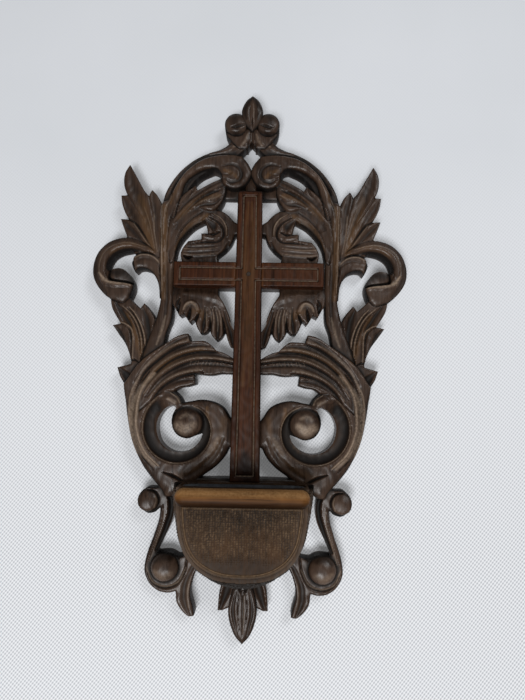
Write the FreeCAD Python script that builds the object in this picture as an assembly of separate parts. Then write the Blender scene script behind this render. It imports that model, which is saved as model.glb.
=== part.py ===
import FreeCAD, Part
import math
import os

# Holy water stoup: a pierced and carved back board that hangs on a wall, with a halved
# Latin cross on its front, and under the cross a hollowed bowl with a lift-out metal liner.
# Frame: +Z up, the front faces -Y, the back of the board is the plane y = 0, and the
# origin lies on that plane behind the point where the two arms of the cross meet.

V = FreeCAD.Vector

# ---------------------------------------------------------------- driving dimensions (mm)
board_width = 174.4          # across the two side scrolls
board_height = 301.1         # tip of the finial to tip of the pendant leaf
ground = 11.0                # thickness of the plain wood behind the cross and the bowl
spine_width = 12.6           # plain strip behind the upright, at its top
rail_width = 12.0            # plain strip behind the arm
cove_floor = 8.5             # wood left at the bottom of the volute's cove
berry_sides = 14             # knife cuts round a berry

cross_thickness = 7.0
upright_top_width = 13.4
upright_foot_width = 15.6
arm_length = 81.0
arm_width = 13.2
line_inset = 3.3             # incised line, in from the edges of the cross
line_width = 0.8
line_depth = 0.6

pin_shank_diameter = 1.4
pin_head_diameter = 2.4
pin_head_height = 0.7
pin_bite = 5.0               # length of the crossing pin inside the board

bowl_height = 49.6
bowl_reach = 27.5            # board face to front panel
bowl_rim_width = 70.8        # widest, about half way out from the board
panel_inset = 4.2            # from the widest outline in to the flat front panel
back_inset = 11.9            # from the widest outline in to where the sides meet the board
bowl_wall = 4.2
bowl_floor_above_foot = 19.6
root_centre_below_rim = 20.0 # the bowl narrows to the board towards this height
panel_cut_depth = 9.0        # depth of the slope between the panel's edge and the sides
back_cut_depth = 12.0        # depth of the slope between the board and the sides
tub_lean = 4.5               # how far the hollow's sides lean in at its floor

moulding_height = 9.0
moulding_reach = 4.6
moulding_end_inset = 2.9     # from the widest part of the rim in to the moulding's end

liner_sheet = 1.0
liner_gap = 0.5              # all round between liner and wood
liner_below_rim = 0.8
lift_clearance = 1.4         # between the lifted liner and the front of the upright

screw_diameter = 3.0
screw_head_diameter = 5.8
screw_length = 19.0
screw_spread = 22.0          # between the two bowl screws
screw_above_foot = 16.6

keyhole_z = 24.0             # centre of the round hole in the back that a nail's head enters
keyhole_diameter = 7.6
keyhole_slot = 3.4           # for the nail's shank
keyhole_rise = 9.0           # from the round hole's centre to the slot's end
keyhole_lip = 1.8            # wood left in front of the nail's head
keyhole_depth = 5.4

seat_gap = 0.05              # round shanks in their holes
slight_bow = 0.3             # curves that bow less than this are drawn straight
DRAWN_WIDTH = 174.4          # size at which the outlines below are drawn
DRAWN_HEIGHT = 301.1

# ---------------------------------------------------------------- values that follow
stretch_x = board_width / DRAWN_WIDTH
stretch_z = board_height / DRAWN_HEIGHT
bowl_rim_z = -110.0 * stretch_z
upright_top_z = 47.0 * stretch_z
cross_front = ground + cross_thickness
bowl_back_wall = cross_thickness + lift_clearance - liner_gap
bowl_foot_z = bowl_rim_z - bowl_height
bowl_front = ground + bowl_reach
pendant_root_z = -162.0 * stretch_z


# ---------------------------------------------------------------- tools for carved outlines
def at(x, z, y=0.0):
    """A point of the carved drawing, stretched to the board's real width and height."""
    return V(x * stretch_x, y, z * stretch_z)


def line(start, end):
    return Part.LineSegment(start, end).toShape()


def bend(start, middle, end):
    """The arc through three points, or a straight line where it would hardly bow."""
    chord = end - start
    bow = chord.cross(middle - start).Length / chord.Length
    return line(start, end) if bow < slight_bow else Part.Arc(start, middle, end).toShape()


def leave(start, heading, end):
    """The arc that leaves a point in a given direction and ends at another point."""
    chord = end - start
    turn = heading.getAngle(chord)
    bow = chord.Length / 2.0 * math.tan(turn / 2.0)
    if bow < slight_bow or turn > 0.8:
        return line(start, end)
    across = heading - chord * (heading.dot(chord) / chord.dot(chord))
    across.normalize()
    return Part.Arc(start, start + chord * 0.5 + across * bow, end).toShape()


def run_edges(points):
    """Arcs through a run of points, three at a time; two points make a straight line."""
    if len(points) == 2:
        return [line(points[0], points[1])]
    edges = [bend(*points[i:i + 3]) for i in range(0, len(points) - 2, 2)]
    if len(points) % 2 == 0:
        last = edges[-1]
        edges.append(leave(points[-2], last.tangentAt(last.LastParameter), points[-1]))
    return edges


def closed_wire(runs):
    """A closed wire from runs of points. Each run starts where the last one ended."""
    first = runs[0][0]
    corner = first
    edges = []
    for index, run in enumerate(runs):
        points = list(run) if index == 0 else [corner] + list(run)
        edges += run_edges(points)
        corner = points[-1]
    if (corner - first).Length > 1e-6:
        edges.append(line(corner, first))
    return Part.Wire(edges)


def relief(height, *runs):
    """A carved motif: its outline on the back plane, brought forward by its height."""
    wire = closed_wire([[at(x, z) for x, z in run] for run in runs])
    return Part.Face(wire).extrude(V(0, -height, 0))


def faceted(rings):
    """A solid between polygons that have the same number of corners and parallel sides."""
    faces = [Part.Face(Part.makePolygon(ring + ring[:1])) for ring in (rings[0], rings[-1])]
    for low, high in zip(rings, rings[1:]):
        for k in range(len(low)):
            corners = [low[k - 1], low[k], high[k], high[k - 1]]
            faces.append(Part.Face(Part.makePolygon(corners + corners[:1])))
    solid = Part.Solid(Part.Shell(faces))
    return solid if solid.Volume > 0 else solid.reversed()


def knob(x, z, radius, base, crest):
    """A carved berry: a faceted dome of the given plan radius that rises from base to crest."""
    shoulder = base + (crest - base) * 0.6
    steps = ((radius, 0.0), (radius, base), (radius * 0.84, shoulder), (radius * 0.5, crest))
    rings = []
    for size, height in steps:
        turns = [2.0 * math.pi * (k + 0.5) / berry_sides for k in range(berry_sides)]
        rings.append([at(x, z, -height) + V(size * math.cos(t), 0, size * math.sin(t)) for t in turns])
    return faceted(rings)


def mirrored(shape):
    return shape.mirror(V(0, 0, 0), V(1, 0, 0))


def box(x0, x1, y0, y1, z0, z1):
    return Part.makeBox(x1 - x0, y1 - y0, z1 - z0, V(x0, y0, z0))


# ---------------------------------------------------------------- the carved half, x > 0
def arch():
    """The arch that springs from the stem and ends in a roll above the upright."""
    rib = relief(8.0,
                 [(0.0, 86.0), (6.0, 84.0), (11.8, 80.2)],
                 [(14.2, 77.2), (18.0, 74.9), (24.0, 72.6), (30.0, 69.8), (36.0, 65.6), (41.5, 60.3),
                  (45.8, 54.2), (48.6, 48.0), (50.1, 41.6)],
                 [(48.0, 30.0), (41.0, 38.0)],
                 [(38.0, 46.0), (30.0, 58.0), (18.0, 64.0), (11.0, 67.0), (8.0, 71.0)],
                 [(0.0, 79.4)])
    band = relief(12.0,
                  [(5.3, 69.9), (12.0, 70.6), (20.0, 69.9), (27.0, 67.8), (33.0, 64.0), (38.6, 58.4),
                   (43.0, 51.0), (45.6, 44.0), (46.6, 36.0)],
                  [(43.0, 34.0), (40.0, 44.8)],
                  [(37.6, 54.0), (32.6, 59.2), (26.0, 62.3), (19.6, 62.2), (16.6, 58.8)],
                  [(15.6, 54.2), (13.0, 51.8), (9.0, 50.9), (4.5, 52.4), (1.2, 56.0), (-0.25, 60.5),
                   (1.6, 65.4), (5.3, 69.9)])
    return [rib, band]


def finial_petal():
    return relief(10.5,
                  [(2.0, 76.0), (3.2, 86.0), (4.2, 91.5), (6.2, 95.2), (9.6, 96.4), (13.2, 94.8),
                   (15.5, 91.2), (15.5, 87.0), (14.4, 83.0), (11.8, 80.2)],
                  [(8.0, 76.0), (2.0, 76.0)])


def hooked_leaf():
    """Leaf under the arch: it droops from the stem and hooks down beside the upright."""
    leaf = relief(11.0,
                  [(17.0, 57.2), (22.5, 54.2), (29.9, 49.7)],
                  [(31.3, 52.4)],
                  [(36.0, 48.8), (40.0, 44.8)],
                  [(44.0, 38.0), (46.5, 28.0), (45.0, 16.0)],
                  [(42.6, 28.0), (36.5, 36.0), (30.0, 39.6), (24.6, 38.4)],
                  [(21.5, 38.3), (18.0, 40.6), (15.3, 45.0), (14.2, 50.0), (15.0, 54.4), (17.0, 57.2)])
    return [leaf]


def small_scroll():
    """Small curled leaf that stands on the arm of the cross."""
    body = relief(10.0,
                  [(28.0, 41.0), (22.0, 39.0), (16.4, 38.6)],
                  [(12.5, 36.0), (9.2, 32.6), (6.0, 30.8)],
                  [(6.0, 26.0), (8.6, 24.8)],
                  [(10.2, 20.6), (13.4, 16.4), (18.0, 12.6)],
                  [(18.0, 3.0), (36.0, 3.0)],
                  [(38.4, 11.5), (37.8, 16.0), (34.6, 20.6)],
                  [(30.0, 21.4), (27.3, 21.8)],
                  [(27.4, 25.2)],
                  [(23.6, 25.4)],
                  [(25.4, 33.0)],
                  [(31.4, 29.6), (36.6, 24.4), (40.4, 18.0), (42.4, 9.0)],
                  [(44.5, 9.0), (44.5, 24.0), (38.0, 35.0), (28.0, 41.0)])
    bud = knob(20.6, 28.8, 3.4, 9.0, 11.5)
    return [body, bud]


def stem():
    """Upright stem from the arch to the leaves under the arm."""
    return [relief(11.0,
                   [(42.2, 12.0), (43.6, 30.0), (44.4, 44.0)],
                   [(50.0, 41.0), (50.5, 24.0), (50.0, 8.0), (49.0, -4.0), (48.9, -14.0), (51.3, -25.6)],
                   [(58.0, -48.0), (46.0, -46.0), (46.0, -38.0)],
                   [(44.8, -31.0), (42.6, -24.6), (42.2, -19.0), (42.4, -8.0), (42.2, 12.0)])]


def upper_leaf():
    return [relief(9.0,
                   [(48.5, 10.0), (49.0, 28.0), (50.2, 41.6)],
                   [(52.5, 46.4), (56.0, 50.3)],
                   [(57.8, 46.6)],
                   [(61.0, 50.6), (65.0, 57.6), (69.2, 65.0)],
                   [(71.6, 60.6), (72.3, 56.0), (71.6, 51.0), (69.8, 46.8)],
                   [(73.4, 46.7)],
                   [(72.6, 41.6), (70.8, 36.8), (68.4, 32.6)],
                   [(73.0, 32.9)],
                   [(71.0, 27.6), (68.2, 21.0)],
                   [(60.0, 16.0), (48.5, 10.0)])]


def side_scroll():
    """C scroll at the widest part of the board, with the blunt curl that faces it."""
    scroll = relief(11.0,
                    [(49.0, 8.0), (54.0, 15.0), (61.0, 19.8), (68.4, 21.9), (74.5, 21.2), (80.0, 18.7),
                     (84.2, 14.3), (86.5, 9.0), (87.2, 3.6), (86.4, -1.4), (83.8, -6.2), (80.0, -10.5),
                     (76.3, -13.2)],
                    [(70.0, -15.0), (66.4, -12.5)],
                    [(65.0, -9.5), (64.2, -5.3), (65.6, -0.9), (68.6, 2.9), (72.6, 4.4), (78.6, 3.2)],
                    [(78.8, 6.8), (76.6, 11.0), (72.4, 13.8), (66.4, 15.2)],
                    [(60.0, 10.0), (49.0, 8.0)])
    curl = relief(10.0,
                  [(46.0, 4.0), (50.0, 9.4), (54.6, 12.8), (60.0, 13.4), (64.0, 11.9), (65.7, 8.6),
                   (65.2, 5.6), (63.8, 2.6)],
                  [(61.6, 4.6), (58.0, 4.6), (54.6, 2.9), (52.0, -0.4), (50.2, -5.0), (49.4, -12.0)],
                  [(46.0, -12.0), (46.0, 4.0)])
    roll = knob(70.6, -5.0, 6.8, 10.0, 13.0)
    return [scroll, curl, roll]


def middle_leaf():
    return [relief(9.5,
                   [(66.4, -12.0), (63.4, -15.0), (59.8, -18.1)],
                   [(57.6, -15.2)],
                   [(54.0, -19.4), (52.0, -23.0), (50.6, -27.0)],
                   [(46.0, -40.0), (56.0, -60.0), (66.8, -60.0)],
                   [(69.4, -55.6), (71.0, -50.9)],
                   [(67.0, -49.8), (63.4, -48.8)],
                   [(64.6, -43.4), (67.4, -37.8), (71.2, -32.6), (74.6, -27.6)],
                   [(70.2, -26.6)],
                   [(73.6, -21.4), (75.6, -17.0), (76.3, -12.6)],
                   [(70.0, -10.0), (66.4, -12.0)])]


def hanging_leaf():
    """Five-lobed leaf that hangs from behind the arm of the cross."""
    return [relief(10.0,
                   [(17.0, 6.0), (17.0, -9.6)],
                   [(13.2, -15.6), (10.6, -21.6), (9.2, -27.0), (6.4, -31.0)],
                   [(6.4, -38.8), (9.8, -38.2)],
                   [(11.4, -34.4), (12.8, -29.6)],
                   [(14.6, -33.2), (17.2, -35.4)],
                   [(19.8, -32.6), (21.6, -29.0)],
                   [(23.6, -31.0), (26.2, -31.4)],
                   [(28.2, -28.0), (30.0, -23.6)],
                   [(32.2, -25.8)],
                   [(34.0, -23.2), (35.2, -20.6)],
                   [(38.0, -22.0)],
                   [(39.8, -18.8), (43.0, -13.0)],
                   [(43.0, 6.0), (17.0, 6.0)])]


def big_leaf():
    """Broad leaf that falls over the volute towards the upright."""
    return [relief(12.5,
                   [(46.0, -38.8), (41.0, -35.0), (36.8, -32.8), (32.6, -31.9)],
                   [(31.3, -36.3)],
                   [(27.0, -35.9), (23.0, -36.0), (19.6, -38.2)],
                   [(17.0, -41.0)],
                   [(12.0, -42.6), (6.2, -46.0)],
                   [(6.2, -52.8), (14.0, -53.4), (20.0, -54.4), (28.6, -53.8)],
                   [(27.8, -59.3)],
                   [(32.0, -60.6), (36.0, -61.2), (39.4, -63.2)],
                   [(46.0, -64.0), (53.0, -70.0), (60.0, -76.0)],
                   [(65.0, -68.0), (66.6, -60.0)],
                   [(58.0, -48.0), (46.0, -38.8)])]


def volute():
    """Open volute: its ring winds in to a ball. Returns the ring, its cove, the crescent and the ball."""
    ring = relief(12.0,
                  [(39.4, -63.2), (36.2, -66.2), (34.4, -69.4)],
                  [(30.0, -68.6), (24.0, -67.6), (17.6, -68.8), (12.4, -71.8), (9.2, -76.6), (6.4, -80.0)],
                  [(6.4, -91.0), (8.8, -93.4)],
                  [(11.6, -98.6), (16.4, -103.6), (22.0, -107.6), (27.0, -112.0)],
                  [(40.0, -119.0), (44.2, -115.6)],
                  [(49.0, -110.6), (54.6, -103.6), (59.0, -95.6), (61.9, -88.0), (63.8, -80.0),
                   (65.2, -72.0), (66.8, -60.0)],
                  [(56.0, -57.0), (46.0, -60.0), (39.4, -63.2)])
    cove = relief(20.0,
                  [(36.2, -63.2), (43.7, -64.7), (50.3, -69.0), (54.6, -75.4), (56.0, -82.8), (54.5, -90.4),
                   (50.1, -96.9), (43.7, -101.3), (36.2, -102.8), (28.7, -101.3), (22.1, -96.9),
                   (17.8, -90.4), (16.6, -86.0)],
                  [(31.0, -82.0)],
                  [(36.2, -63.2)])
    crescent = relief(30.0,
                      [(37.6, -72.2), (40.4, -71.2), (44.4, -73.2), (47.5, -77.6), (48.5, -83.0),
                       (46.6, -90.0), (42.0, -94.5), (36.0, -96.2), (30.0, -94.6), (25.4, -90.6),
                       (23.2, -85.6)],
                      [(27.0, -87.0), (31.8, -88.6), (37.0, -86.6), (40.0, -81.6), (39.9, -77.0),
                       (37.6, -72.2)])
    ball = knob(31.8, -80.2, 8.2, 10.0, 15.0)
    return ring, cove, crescent, ball


def lower_scroll():
    """S scroll beside the bowl, with a berry at each end and a foot leaf."""
    body = relief(9.5,
                  [(40.0, -112.0), (47.4, -114.6), (52.4, -114.9), (55.8, -117.8), (56.7, -121.6),
                   (55.2, -126.0), (51.6, -128.4), (47.6, -127.6), (44.9, -125.0)],
                  [(45.6, -131.4), (48.0, -139.6), (50.8, -148.0), (52.2, -154.6), (51.9, -159.6),
                   (49.0, -164.8), (44.2, -168.2), (39.0, -168.9), (35.4, -168.0)],
                  [(34.8, -173.0), (32.4, -176.9), (28.4, -180.2), (25.2, -179.9)],
                  [(26.2, -175.4), (27.7, -170.4), (27.4, -165.0), (25.2, -158.0), (22.0, -153.0)],
                  [(22.0, -146.0), (30.0, -149.4), (34.8, -150.2)],
                  [(39.4, -148.2), (46.2, -148.6)],
                  [(42.4, -140.4), (39.2, -133.4), (37.8, -126.4), (38.4, -119.4)],
                  [(34.0, -114.0), (40.0, -112.0)])
    berry = knob(50.8, -121.6, 5.2, 9.0, 12.0)
    roll = knob(41.8, -156.4, 7.6, 9.0, 13.5)
    return [body, berry, roll]


def pendant_side_leaf():
    return [relief(7.5,
                   [(3.0, -158.0), (9.0, -158.0)],
                   [(12.2, -167.0), (13.2, -177.6)],
                   [(9.6, -177.0), (5.0, -173.0), (3.0, -158.0)])]


def carved_half():
    ring, cove, crescent, ball = volute()
    cove.translate(V(0, -cove_floor, 0))
    swept = ring.fuse(big_leaf()[0]).cut(cove)
    motifs = [swept, ball, finial_petal()]
    for motif in (arch, hooked_leaf, small_scroll, stem, upper_leaf, side_scroll, middle_leaf,
                  hanging_leaf, lower_scroll, pendant_side_leaf):
        motifs += motif()
    half = motifs[0].multiFuse(motifs[1:])
    return half.cut(crescent)


# ---------------------------------------------------------------- the plain ground and the cross
def half_width_at(z):
    """Half the upright's width at a height: it widens evenly from its top to its foot."""
    share = (upright_top_z - z) / (upright_top_z - bowl_rim_z)
    return (upright_top_width + share * (upright_foot_width - upright_top_width)) / 2.0


def tapered_bar(trim, y_back, y_front, z_top, z_foot):
    """A strip as wide as the upright less a trim on each side."""
    top = half_width_at(z_top) - trim
    foot = half_width_at(z_foot) - trim
    corners = [V(-top, -y_back, z_top), V(top, -y_back, z_top), V(foot, -y_back, z_foot),
               V(-foot, -y_back, z_foot)]
    return Part.Face(Part.makePolygon(corners + corners[:1])).extrude(V(0, y_back - y_front, 0))


def ground_piece():
    """The plain wood of the board: behind the upright, behind the arm and behind the bowl."""
    trim = (upright_top_width - spine_width) / 2.0
    spine = tapered_bar(trim, 0.0, ground, upright_top_z, bowl_rim_z - 10.0)
    rail = box(-42.0 * stretch_x, 42.0 * stretch_x, -ground, 0, -rail_width / 2.0, rail_width / 2.0)
    pad_foot_z = min(bowl_foot_z, pendant_root_z) - 2.0
    pad_corners = shield(bowl_rim_width / 2.0 - 4.5, pad_foot_z, 0.0)
    pad = Part.Face(Part.makePolygon(pad_corners + pad_corners[:1])).extrude(V(0, -ground, 0))
    bridge = relief(7.0, [(-3.0, 49.0), (3.0, 49.0)], [(3.0, 63.0)], [(-3.0, 63.0)], [(-3.0, 49.0)])
    web = relief(5.0, [(-16.0, 46.6), (16.0, 46.6)], [(16.0, 53.0)], [(-16.0, 53.0)], [(-16.0, 46.6)])
    bud = relief(11.0,
                 [(0.0, 107.2), (3.2, 104.4), (5.3, 100.4), (6.1, 96.0), (4.6, 90.0), (0.0, 85.0),
                  (-4.6, 90.0), (-6.1, 96.0), (-5.3, 100.4), (-3.2, 104.4), (0.0, 107.2)])
    crown = relief(9.0,
                   [(0.0, 79.8), (4.4, 75.4)],
                   [(8.6, 76.4), (7.8, 82.0), (4.0, 88.0)],
                   [(-4.0, 88.0)],
                   [(-7.8, 82.0), (-8.6, 76.4)],
                   [(-4.4, 75.4)],
                   [(0.0, 79.8)])
    leaf = relief(10.0,
                  [(0.0, -193.9), (3.9, -189.4), (6.5, -183.0), (7.5, -176.0), (6.0, -168.0),
                   (3.4, -160.0)],
                  [(-3.4, -160.0)],
                  [(-6.0, -168.0), (-7.5, -176.0), (-6.5, -183.0), (-3.9, -189.4), (0.0, -193.9)])
    return spine.multiFuse([rail, pad, bridge, web, bud, crown, leaf])


def line_ring(points_of):
    """A closed incised line: the strip between two outlines of the cross."""
    outer = Part.Face(Part.makePolygon(points_of(line_inset)))
    inner = Part.Face(Part.makePolygon(points_of(line_inset + line_width)))
    strip = outer.cut(inner)
    strip.translate(V(0, -(cross_front - line_depth), 0))
    return strip.extrude(V(0, -2.0 * line_depth, 0))


def cross_outline(inset):
    """The outline of the assembled cross, moved inwards."""
    arm_half = arm_width / 2.0 - inset
    end = arm_length / 2.0 - inset
    top = upright_top_z - inset
    foot = bowl_rim_z + inset
    right = [(half_width_at(top) - inset, top), (half_width_at(arm_half) - inset, arm_half),
             (end, arm_half),
             (end, -arm_half), (half_width_at(-arm_half) - inset, -arm_half),
             (half_width_at(foot) - inset, foot)]
    left = [(-x, z) for x, z in reversed(right)]
    return [V(x, 0, z) for x, z in right + left + right[:1]]


def cross_blanks():
    upright = tapered_bar(0.0, ground, cross_front, upright_top_z, bowl_rim_z)
    arm = box(-arm_length / 2.0, arm_length / 2.0, -cross_front, -ground, -arm_width / 2.0, arm_width / 2.0)
    return upright, arm


def halved_cross():
    """Upright and arm, halved into each other, with the incised line cut across both."""
    upright, arm = cross_blanks()
    lap = ground + cross_thickness / 2.0
    line = line_ring(cross_outline)
    socket = box(-arm_length, arm_length, -lap, 0, -arm_width / 2.0, arm_width / 2.0)
    cheek = tapered_bar(0.0, lap, cross_front + 1.0, upright_top_z, bowl_rim_z)
    hole_radius = pin_shank_diameter / 2.0 + seat_gap
    hole = Part.makeCylinder(hole_radius, 2.0 * cross_front, V(0, 1, 0), V(0, -1, 0))
    top_edges = [e for e in upright.Edges
                 if all(abs(v.Z - upright_top_z) < 1e-6 and abs(v.Y + cross_front) < 1e-6
                        for v in e.Vertexes)]
    upright = upright.makeChamfer(cross_thickness / 6.0, top_edges)
    return upright.cut(socket).cut(line).cut(hole), arm.cut(cheek).cut(line).cut(hole)


def crossing_pin():
    shank_tip = ground - pin_bite
    shank_radius = pin_shank_diameter / 2.0
    shank = Part.makeCylinder(shank_radius, cross_front - shank_tip, V(0, -shank_tip, 0), V(0, -1, 0))
    head = Part.makeCylinder(pin_head_diameter / 2.0, pin_head_height, V(0, -cross_front, 0), V(0, -1, 0))
    crown = [e for e in head.Edges if abs(e.BoundBox.YMax + cross_front + pin_head_height) < 1e-6]
    return shank.fuse(head.makeChamfer(pin_head_height * 0.6, crown))


# ---------------------------------------------------------------- bowl, moulding and liner
# Right edge of the bowl from the rim down to the foot:
# share of the half width and share of the height.
BOWL_EDGE = [(1.0, 0.0), (0.99, 0.11), (0.965, 0.25), (0.93, 0.39), (0.875, 0.53), (0.79, 0.66),
             (0.68, 0.765),
             (0.53, 0.86), (0.34, 0.945), (0.13, 0.995)]


def shield(half, foot_z, y, size=1.0, centre_z=None, over=None):
    """Corners of a shield parallel to the board, drawn smaller about a point on its middle line."""
    centre = bowl_rim_z if centre_z is None else centre_z
    right = [(x * half, bowl_rim_z + share * (foot_z - bowl_rim_z)) for x, share in BOWL_EDGE]
    if over:
        right.insert(0, (half, bowl_rim_z + over))
    around = right + [(-x, z) for x, z in reversed(right)]
    return [V(x * size, -y, centre + (z - centre) * size) for x, z in around]


def bowl_block():
    """Flat front panel, sides cut back to the board behind and towards the panel in front."""
    half = bowl_rim_width / 2.0
    over = bowl_height / 2.0
    root_centre_z = bowl_rim_z - root_centre_below_rim
    rings = [shield(half, bowl_foot_z, ground, 1.0 - back_inset / half, root_centre_z, over),
             shield(half, bowl_foot_z, ground + back_cut_depth, over=over),
             shield(half, bowl_foot_z, bowl_front - panel_cut_depth, over=over),
             shield(half, bowl_foot_z, bowl_front, 1.0 - panel_inset / half, over=over)]
    above = box(-half - 1.0, half + 1.0, -bowl_front - 1.0, 0, bowl_rim_z, bowl_rim_z + 2.0 * over)
    return faceted(rings).cut(above)


def tub(inset, z_floor, z_rim):
    """A tub with upright back and front and sloping, three-sided ends: the hollow, or the liner in it."""
    back_out = ground + bowl_back_wall + inset
    front_out = bowl_front - bowl_wall - inset
    corner = (front_out - back_out) * 0.3
    rings = []
    for z, lean in ((z_rim, 0.0), (z_floor, tub_lean)):
        wide = bowl_rim_width / 2.0 - bowl_wall - inset - lean
        right = [V(wide - corner, -back_out, z), V(wide, -back_out - corner, z),
                 V(wide, -front_out + corner, z), V(wide - corner, -front_out, z)]
        rings.append(right + [V(-p.x, p.y, z) for p in reversed(right)])
    return faceted(rings)


def bowl():
    z_floor = bowl_foot_z + bowl_floor_above_foot
    return bowl_block().cut(tub(0.0, z_floor, bowl_rim_z)).cut(bowl_screw_holes())


def water_liner():
    z_floor = bowl_foot_z + bowl_floor_above_foot
    z_rim = bowl_rim_z - liner_below_rim
    outer = tub(liner_gap, z_floor, z_rim)
    return outer.cut(tub(liner_gap + liner_sheet, z_floor + liner_sheet, z_rim))


def rim_moulding():
    """Half-round strip along the top of the bowl's front, with rounded ends."""
    z_top = bowl_rim_z
    z_foot = z_top - moulding_height
    end = bowl_rim_width / 2.0 - moulding_end_inset
    straight = end - moulding_reach
    round_off = moulding_reach * (1.0 - math.sqrt(0.5))
    wall = -bowl_front
    nose = wall - moulding_reach
    z_middle = (z_top + z_foot) / 2.0
    section = Part.Wire([bend(V(-end, wall, z_top), V(-end, nose, z_middle), V(-end, wall, z_foot)),
                         line(V(-end, wall, z_foot), V(-end, wall, z_top))])
    strip = Part.Face(section).extrude(V(2.0 * end, 0, 0))
    corner = V(end - round_off, nose + round_off, z_foot)
    far_corner = V(round_off - end, nose + round_off, z_foot)
    plan = Part.Wire([line(V(-end, wall, z_foot), V(end, wall, z_foot)),
                      bend(V(end, wall, z_foot), corner, V(straight, nose, z_foot)),
                      line(V(straight, nose, z_foot), V(-straight, nose, z_foot)),
                      bend(V(-straight, nose, z_foot), far_corner, V(-end, wall, z_foot))])
    return strip.common(Part.Face(plan).extrude(V(0, 0, moulding_height)))


# ---------------------------------------------------------------- fastenings and the keyhole
def countersunk(x, z, y_head, diameter, head_diameter, length, gap=0.0):
    """A countersunk screw driven from behind, or with a gap its hole."""
    head = (head_diameter - diameter) / 2.0
    radius = diameter / 2.0 + gap
    cone = Part.makeCone(head_diameter / 2.0 + gap, radius, head, V(x, y_head, z), V(0, -1, 0))
    shank = Part.makeCylinder(radius, length + gap, V(x, y_head, z), V(0, -1, 0))
    return cone.fuse(shank)


def bowl_screw_places():
    return [(side * screw_spread / 2.0, bowl_foot_z + screw_above_foot) for side in (-1, 1)]


def bowl_screws():
    screws = []
    for x, z in bowl_screw_places():
        screws.append(countersunk(x, z, 0.0, screw_diameter, screw_head_diameter, screw_length))
    return Part.makeCompound(screws)


def bowl_screw_holes():
    holes = []
    for x, z in bowl_screw_places():
        holes.append(countersunk(x, z, 0.0, screw_diameter, screw_head_diameter, screw_length, seat_gap))
    return Part.makeCompound(holes)


def keyhole():
    """Blind keyhole in the back: a round entry, a slot above it, and room for the head behind its lips."""
    centre = V(0, 0, keyhole_z)
    radius = keyhole_diameter / 2.0
    top = keyhole_z + keyhole_rise
    entry = Part.makeCylinder(radius, keyhole_depth, centre, V(0, -1, 0))
    slot = box(-keyhole_slot / 2.0, keyhole_slot / 2.0, -keyhole_depth, 0, keyhole_z, top)
    head_room = box(-radius, radius, -keyhole_depth, -keyhole_lip, keyhole_z, top)
    return entry.fuse(slot).fuse(head_room)


def back_board():
    half = carved_half()
    board = half.multiFuse([mirrored(half), ground_piece()])
    upright, arm = cross_blanks()
    seat_half = bowl_rim_width / 2.0 - back_inset + 4.0
    bowl_seat = box(-seat_half, seat_half, -2.0 * ground, -ground, bowl_foot_z, bowl_rim_z)
    pin_radius = pin_shank_diameter / 2.0 + seat_gap
    pin_hole = Part.makeCylinder(pin_radius, ground, V(0, pin_bite - ground, 0), V(0, -1, 0))
    for cutter in (upright.fuse(arm), bowl_seat, pin_hole, bowl_screw_holes(), keyhole()):
        board = board.cut(cutter)
    return board.removeSplitter()


def main():
    os.makedirs("parts", exist_ok=True)
    upright, arm = halved_cross()
    nodes = {
        "back_board": back_board(),
        "cross_upright": upright,
        "cross_arm": arm,
        "crossing_pin": crossing_pin(),
        "bowl": bowl(),
        "rim_moulding": rim_moulding(),
        "water_liner": water_liner(),
        "bowl_screws": bowl_screws(),
    }
    for name, shape in nodes.items():
        shape.exportStep("parts/" + name + ".step")
        print(name, "solids", len(shape.Solids), "valid", shape.isValid(), "faces", len(shape.Faces),
              "volume", round(shape.Volume, 1))


main()
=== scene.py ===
# %% [markdown]
# # A carved holy water stoup
# The object is one walnut plank, pierced and carved into scrolls and leaves. A cross is laid on it, and a hollowed
# bowl with a half-round moulding sits under the cross. The CAD model gives every piece its place and size. Here each
# piece gets the surface that a carver's gouges, and years of hands and wax, leave on it, and light and shade are
# partly painted into its colour.

# %% Load the frame
import math
import bmesh
import bpy
import numpy as np
from mathutils import Matrix, Vector
from mathutils.geometry import delaunay_2d_cdt


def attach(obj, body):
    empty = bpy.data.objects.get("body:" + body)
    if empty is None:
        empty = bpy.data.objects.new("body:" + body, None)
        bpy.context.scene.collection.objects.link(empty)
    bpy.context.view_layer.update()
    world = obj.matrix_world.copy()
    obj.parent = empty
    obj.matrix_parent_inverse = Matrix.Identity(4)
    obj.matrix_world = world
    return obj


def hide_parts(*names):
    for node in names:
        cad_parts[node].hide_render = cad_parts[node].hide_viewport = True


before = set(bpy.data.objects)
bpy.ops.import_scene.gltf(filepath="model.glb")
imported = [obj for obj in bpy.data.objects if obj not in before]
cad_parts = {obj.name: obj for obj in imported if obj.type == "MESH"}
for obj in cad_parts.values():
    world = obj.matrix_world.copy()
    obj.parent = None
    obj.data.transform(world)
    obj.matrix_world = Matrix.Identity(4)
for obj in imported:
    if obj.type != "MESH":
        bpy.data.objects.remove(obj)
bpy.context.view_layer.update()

MM = 0.001

# %% [markdown]
# ## Curves for the carving
# A carver draws the leaves on the plank first, and saws along that line. Such a line could be a curve object,
# but plain lists of points are easier to measure against. So every outline is a list of runs of (x, z) points
# in millimetres. Inside a run the points are joined by a smooth curve, and each run starts where the last one
# ended, so a sharp tip is simply the end of a run.

# %% Smooth runs and outlines
def smooth_run(points, pieces=6):
    """A Catmull-Rom curve through points that may carry more numbers than two."""
    p = np.array(points, float)
    if len(p) == 2:
        return p
    p = np.vstack([2 * p[0] - p[1], p, 2 * p[-1] - p[-2]])
    t = np.linspace(0, 1, pieces, endpoint=False)[:, None]
    parts = []
    for a, b, c, d in zip(p, p[1:], p[2:], p[3:]):
        parts.append(0.5 * (2 * b + (c - a) * t + (2 * a - 5 * b + 4 * c - d) * t ** 2
                            + (3 * b - a - 3 * c + d) * t ** 3))
    return np.vstack(parts + [p[-2:-1]])


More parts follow.
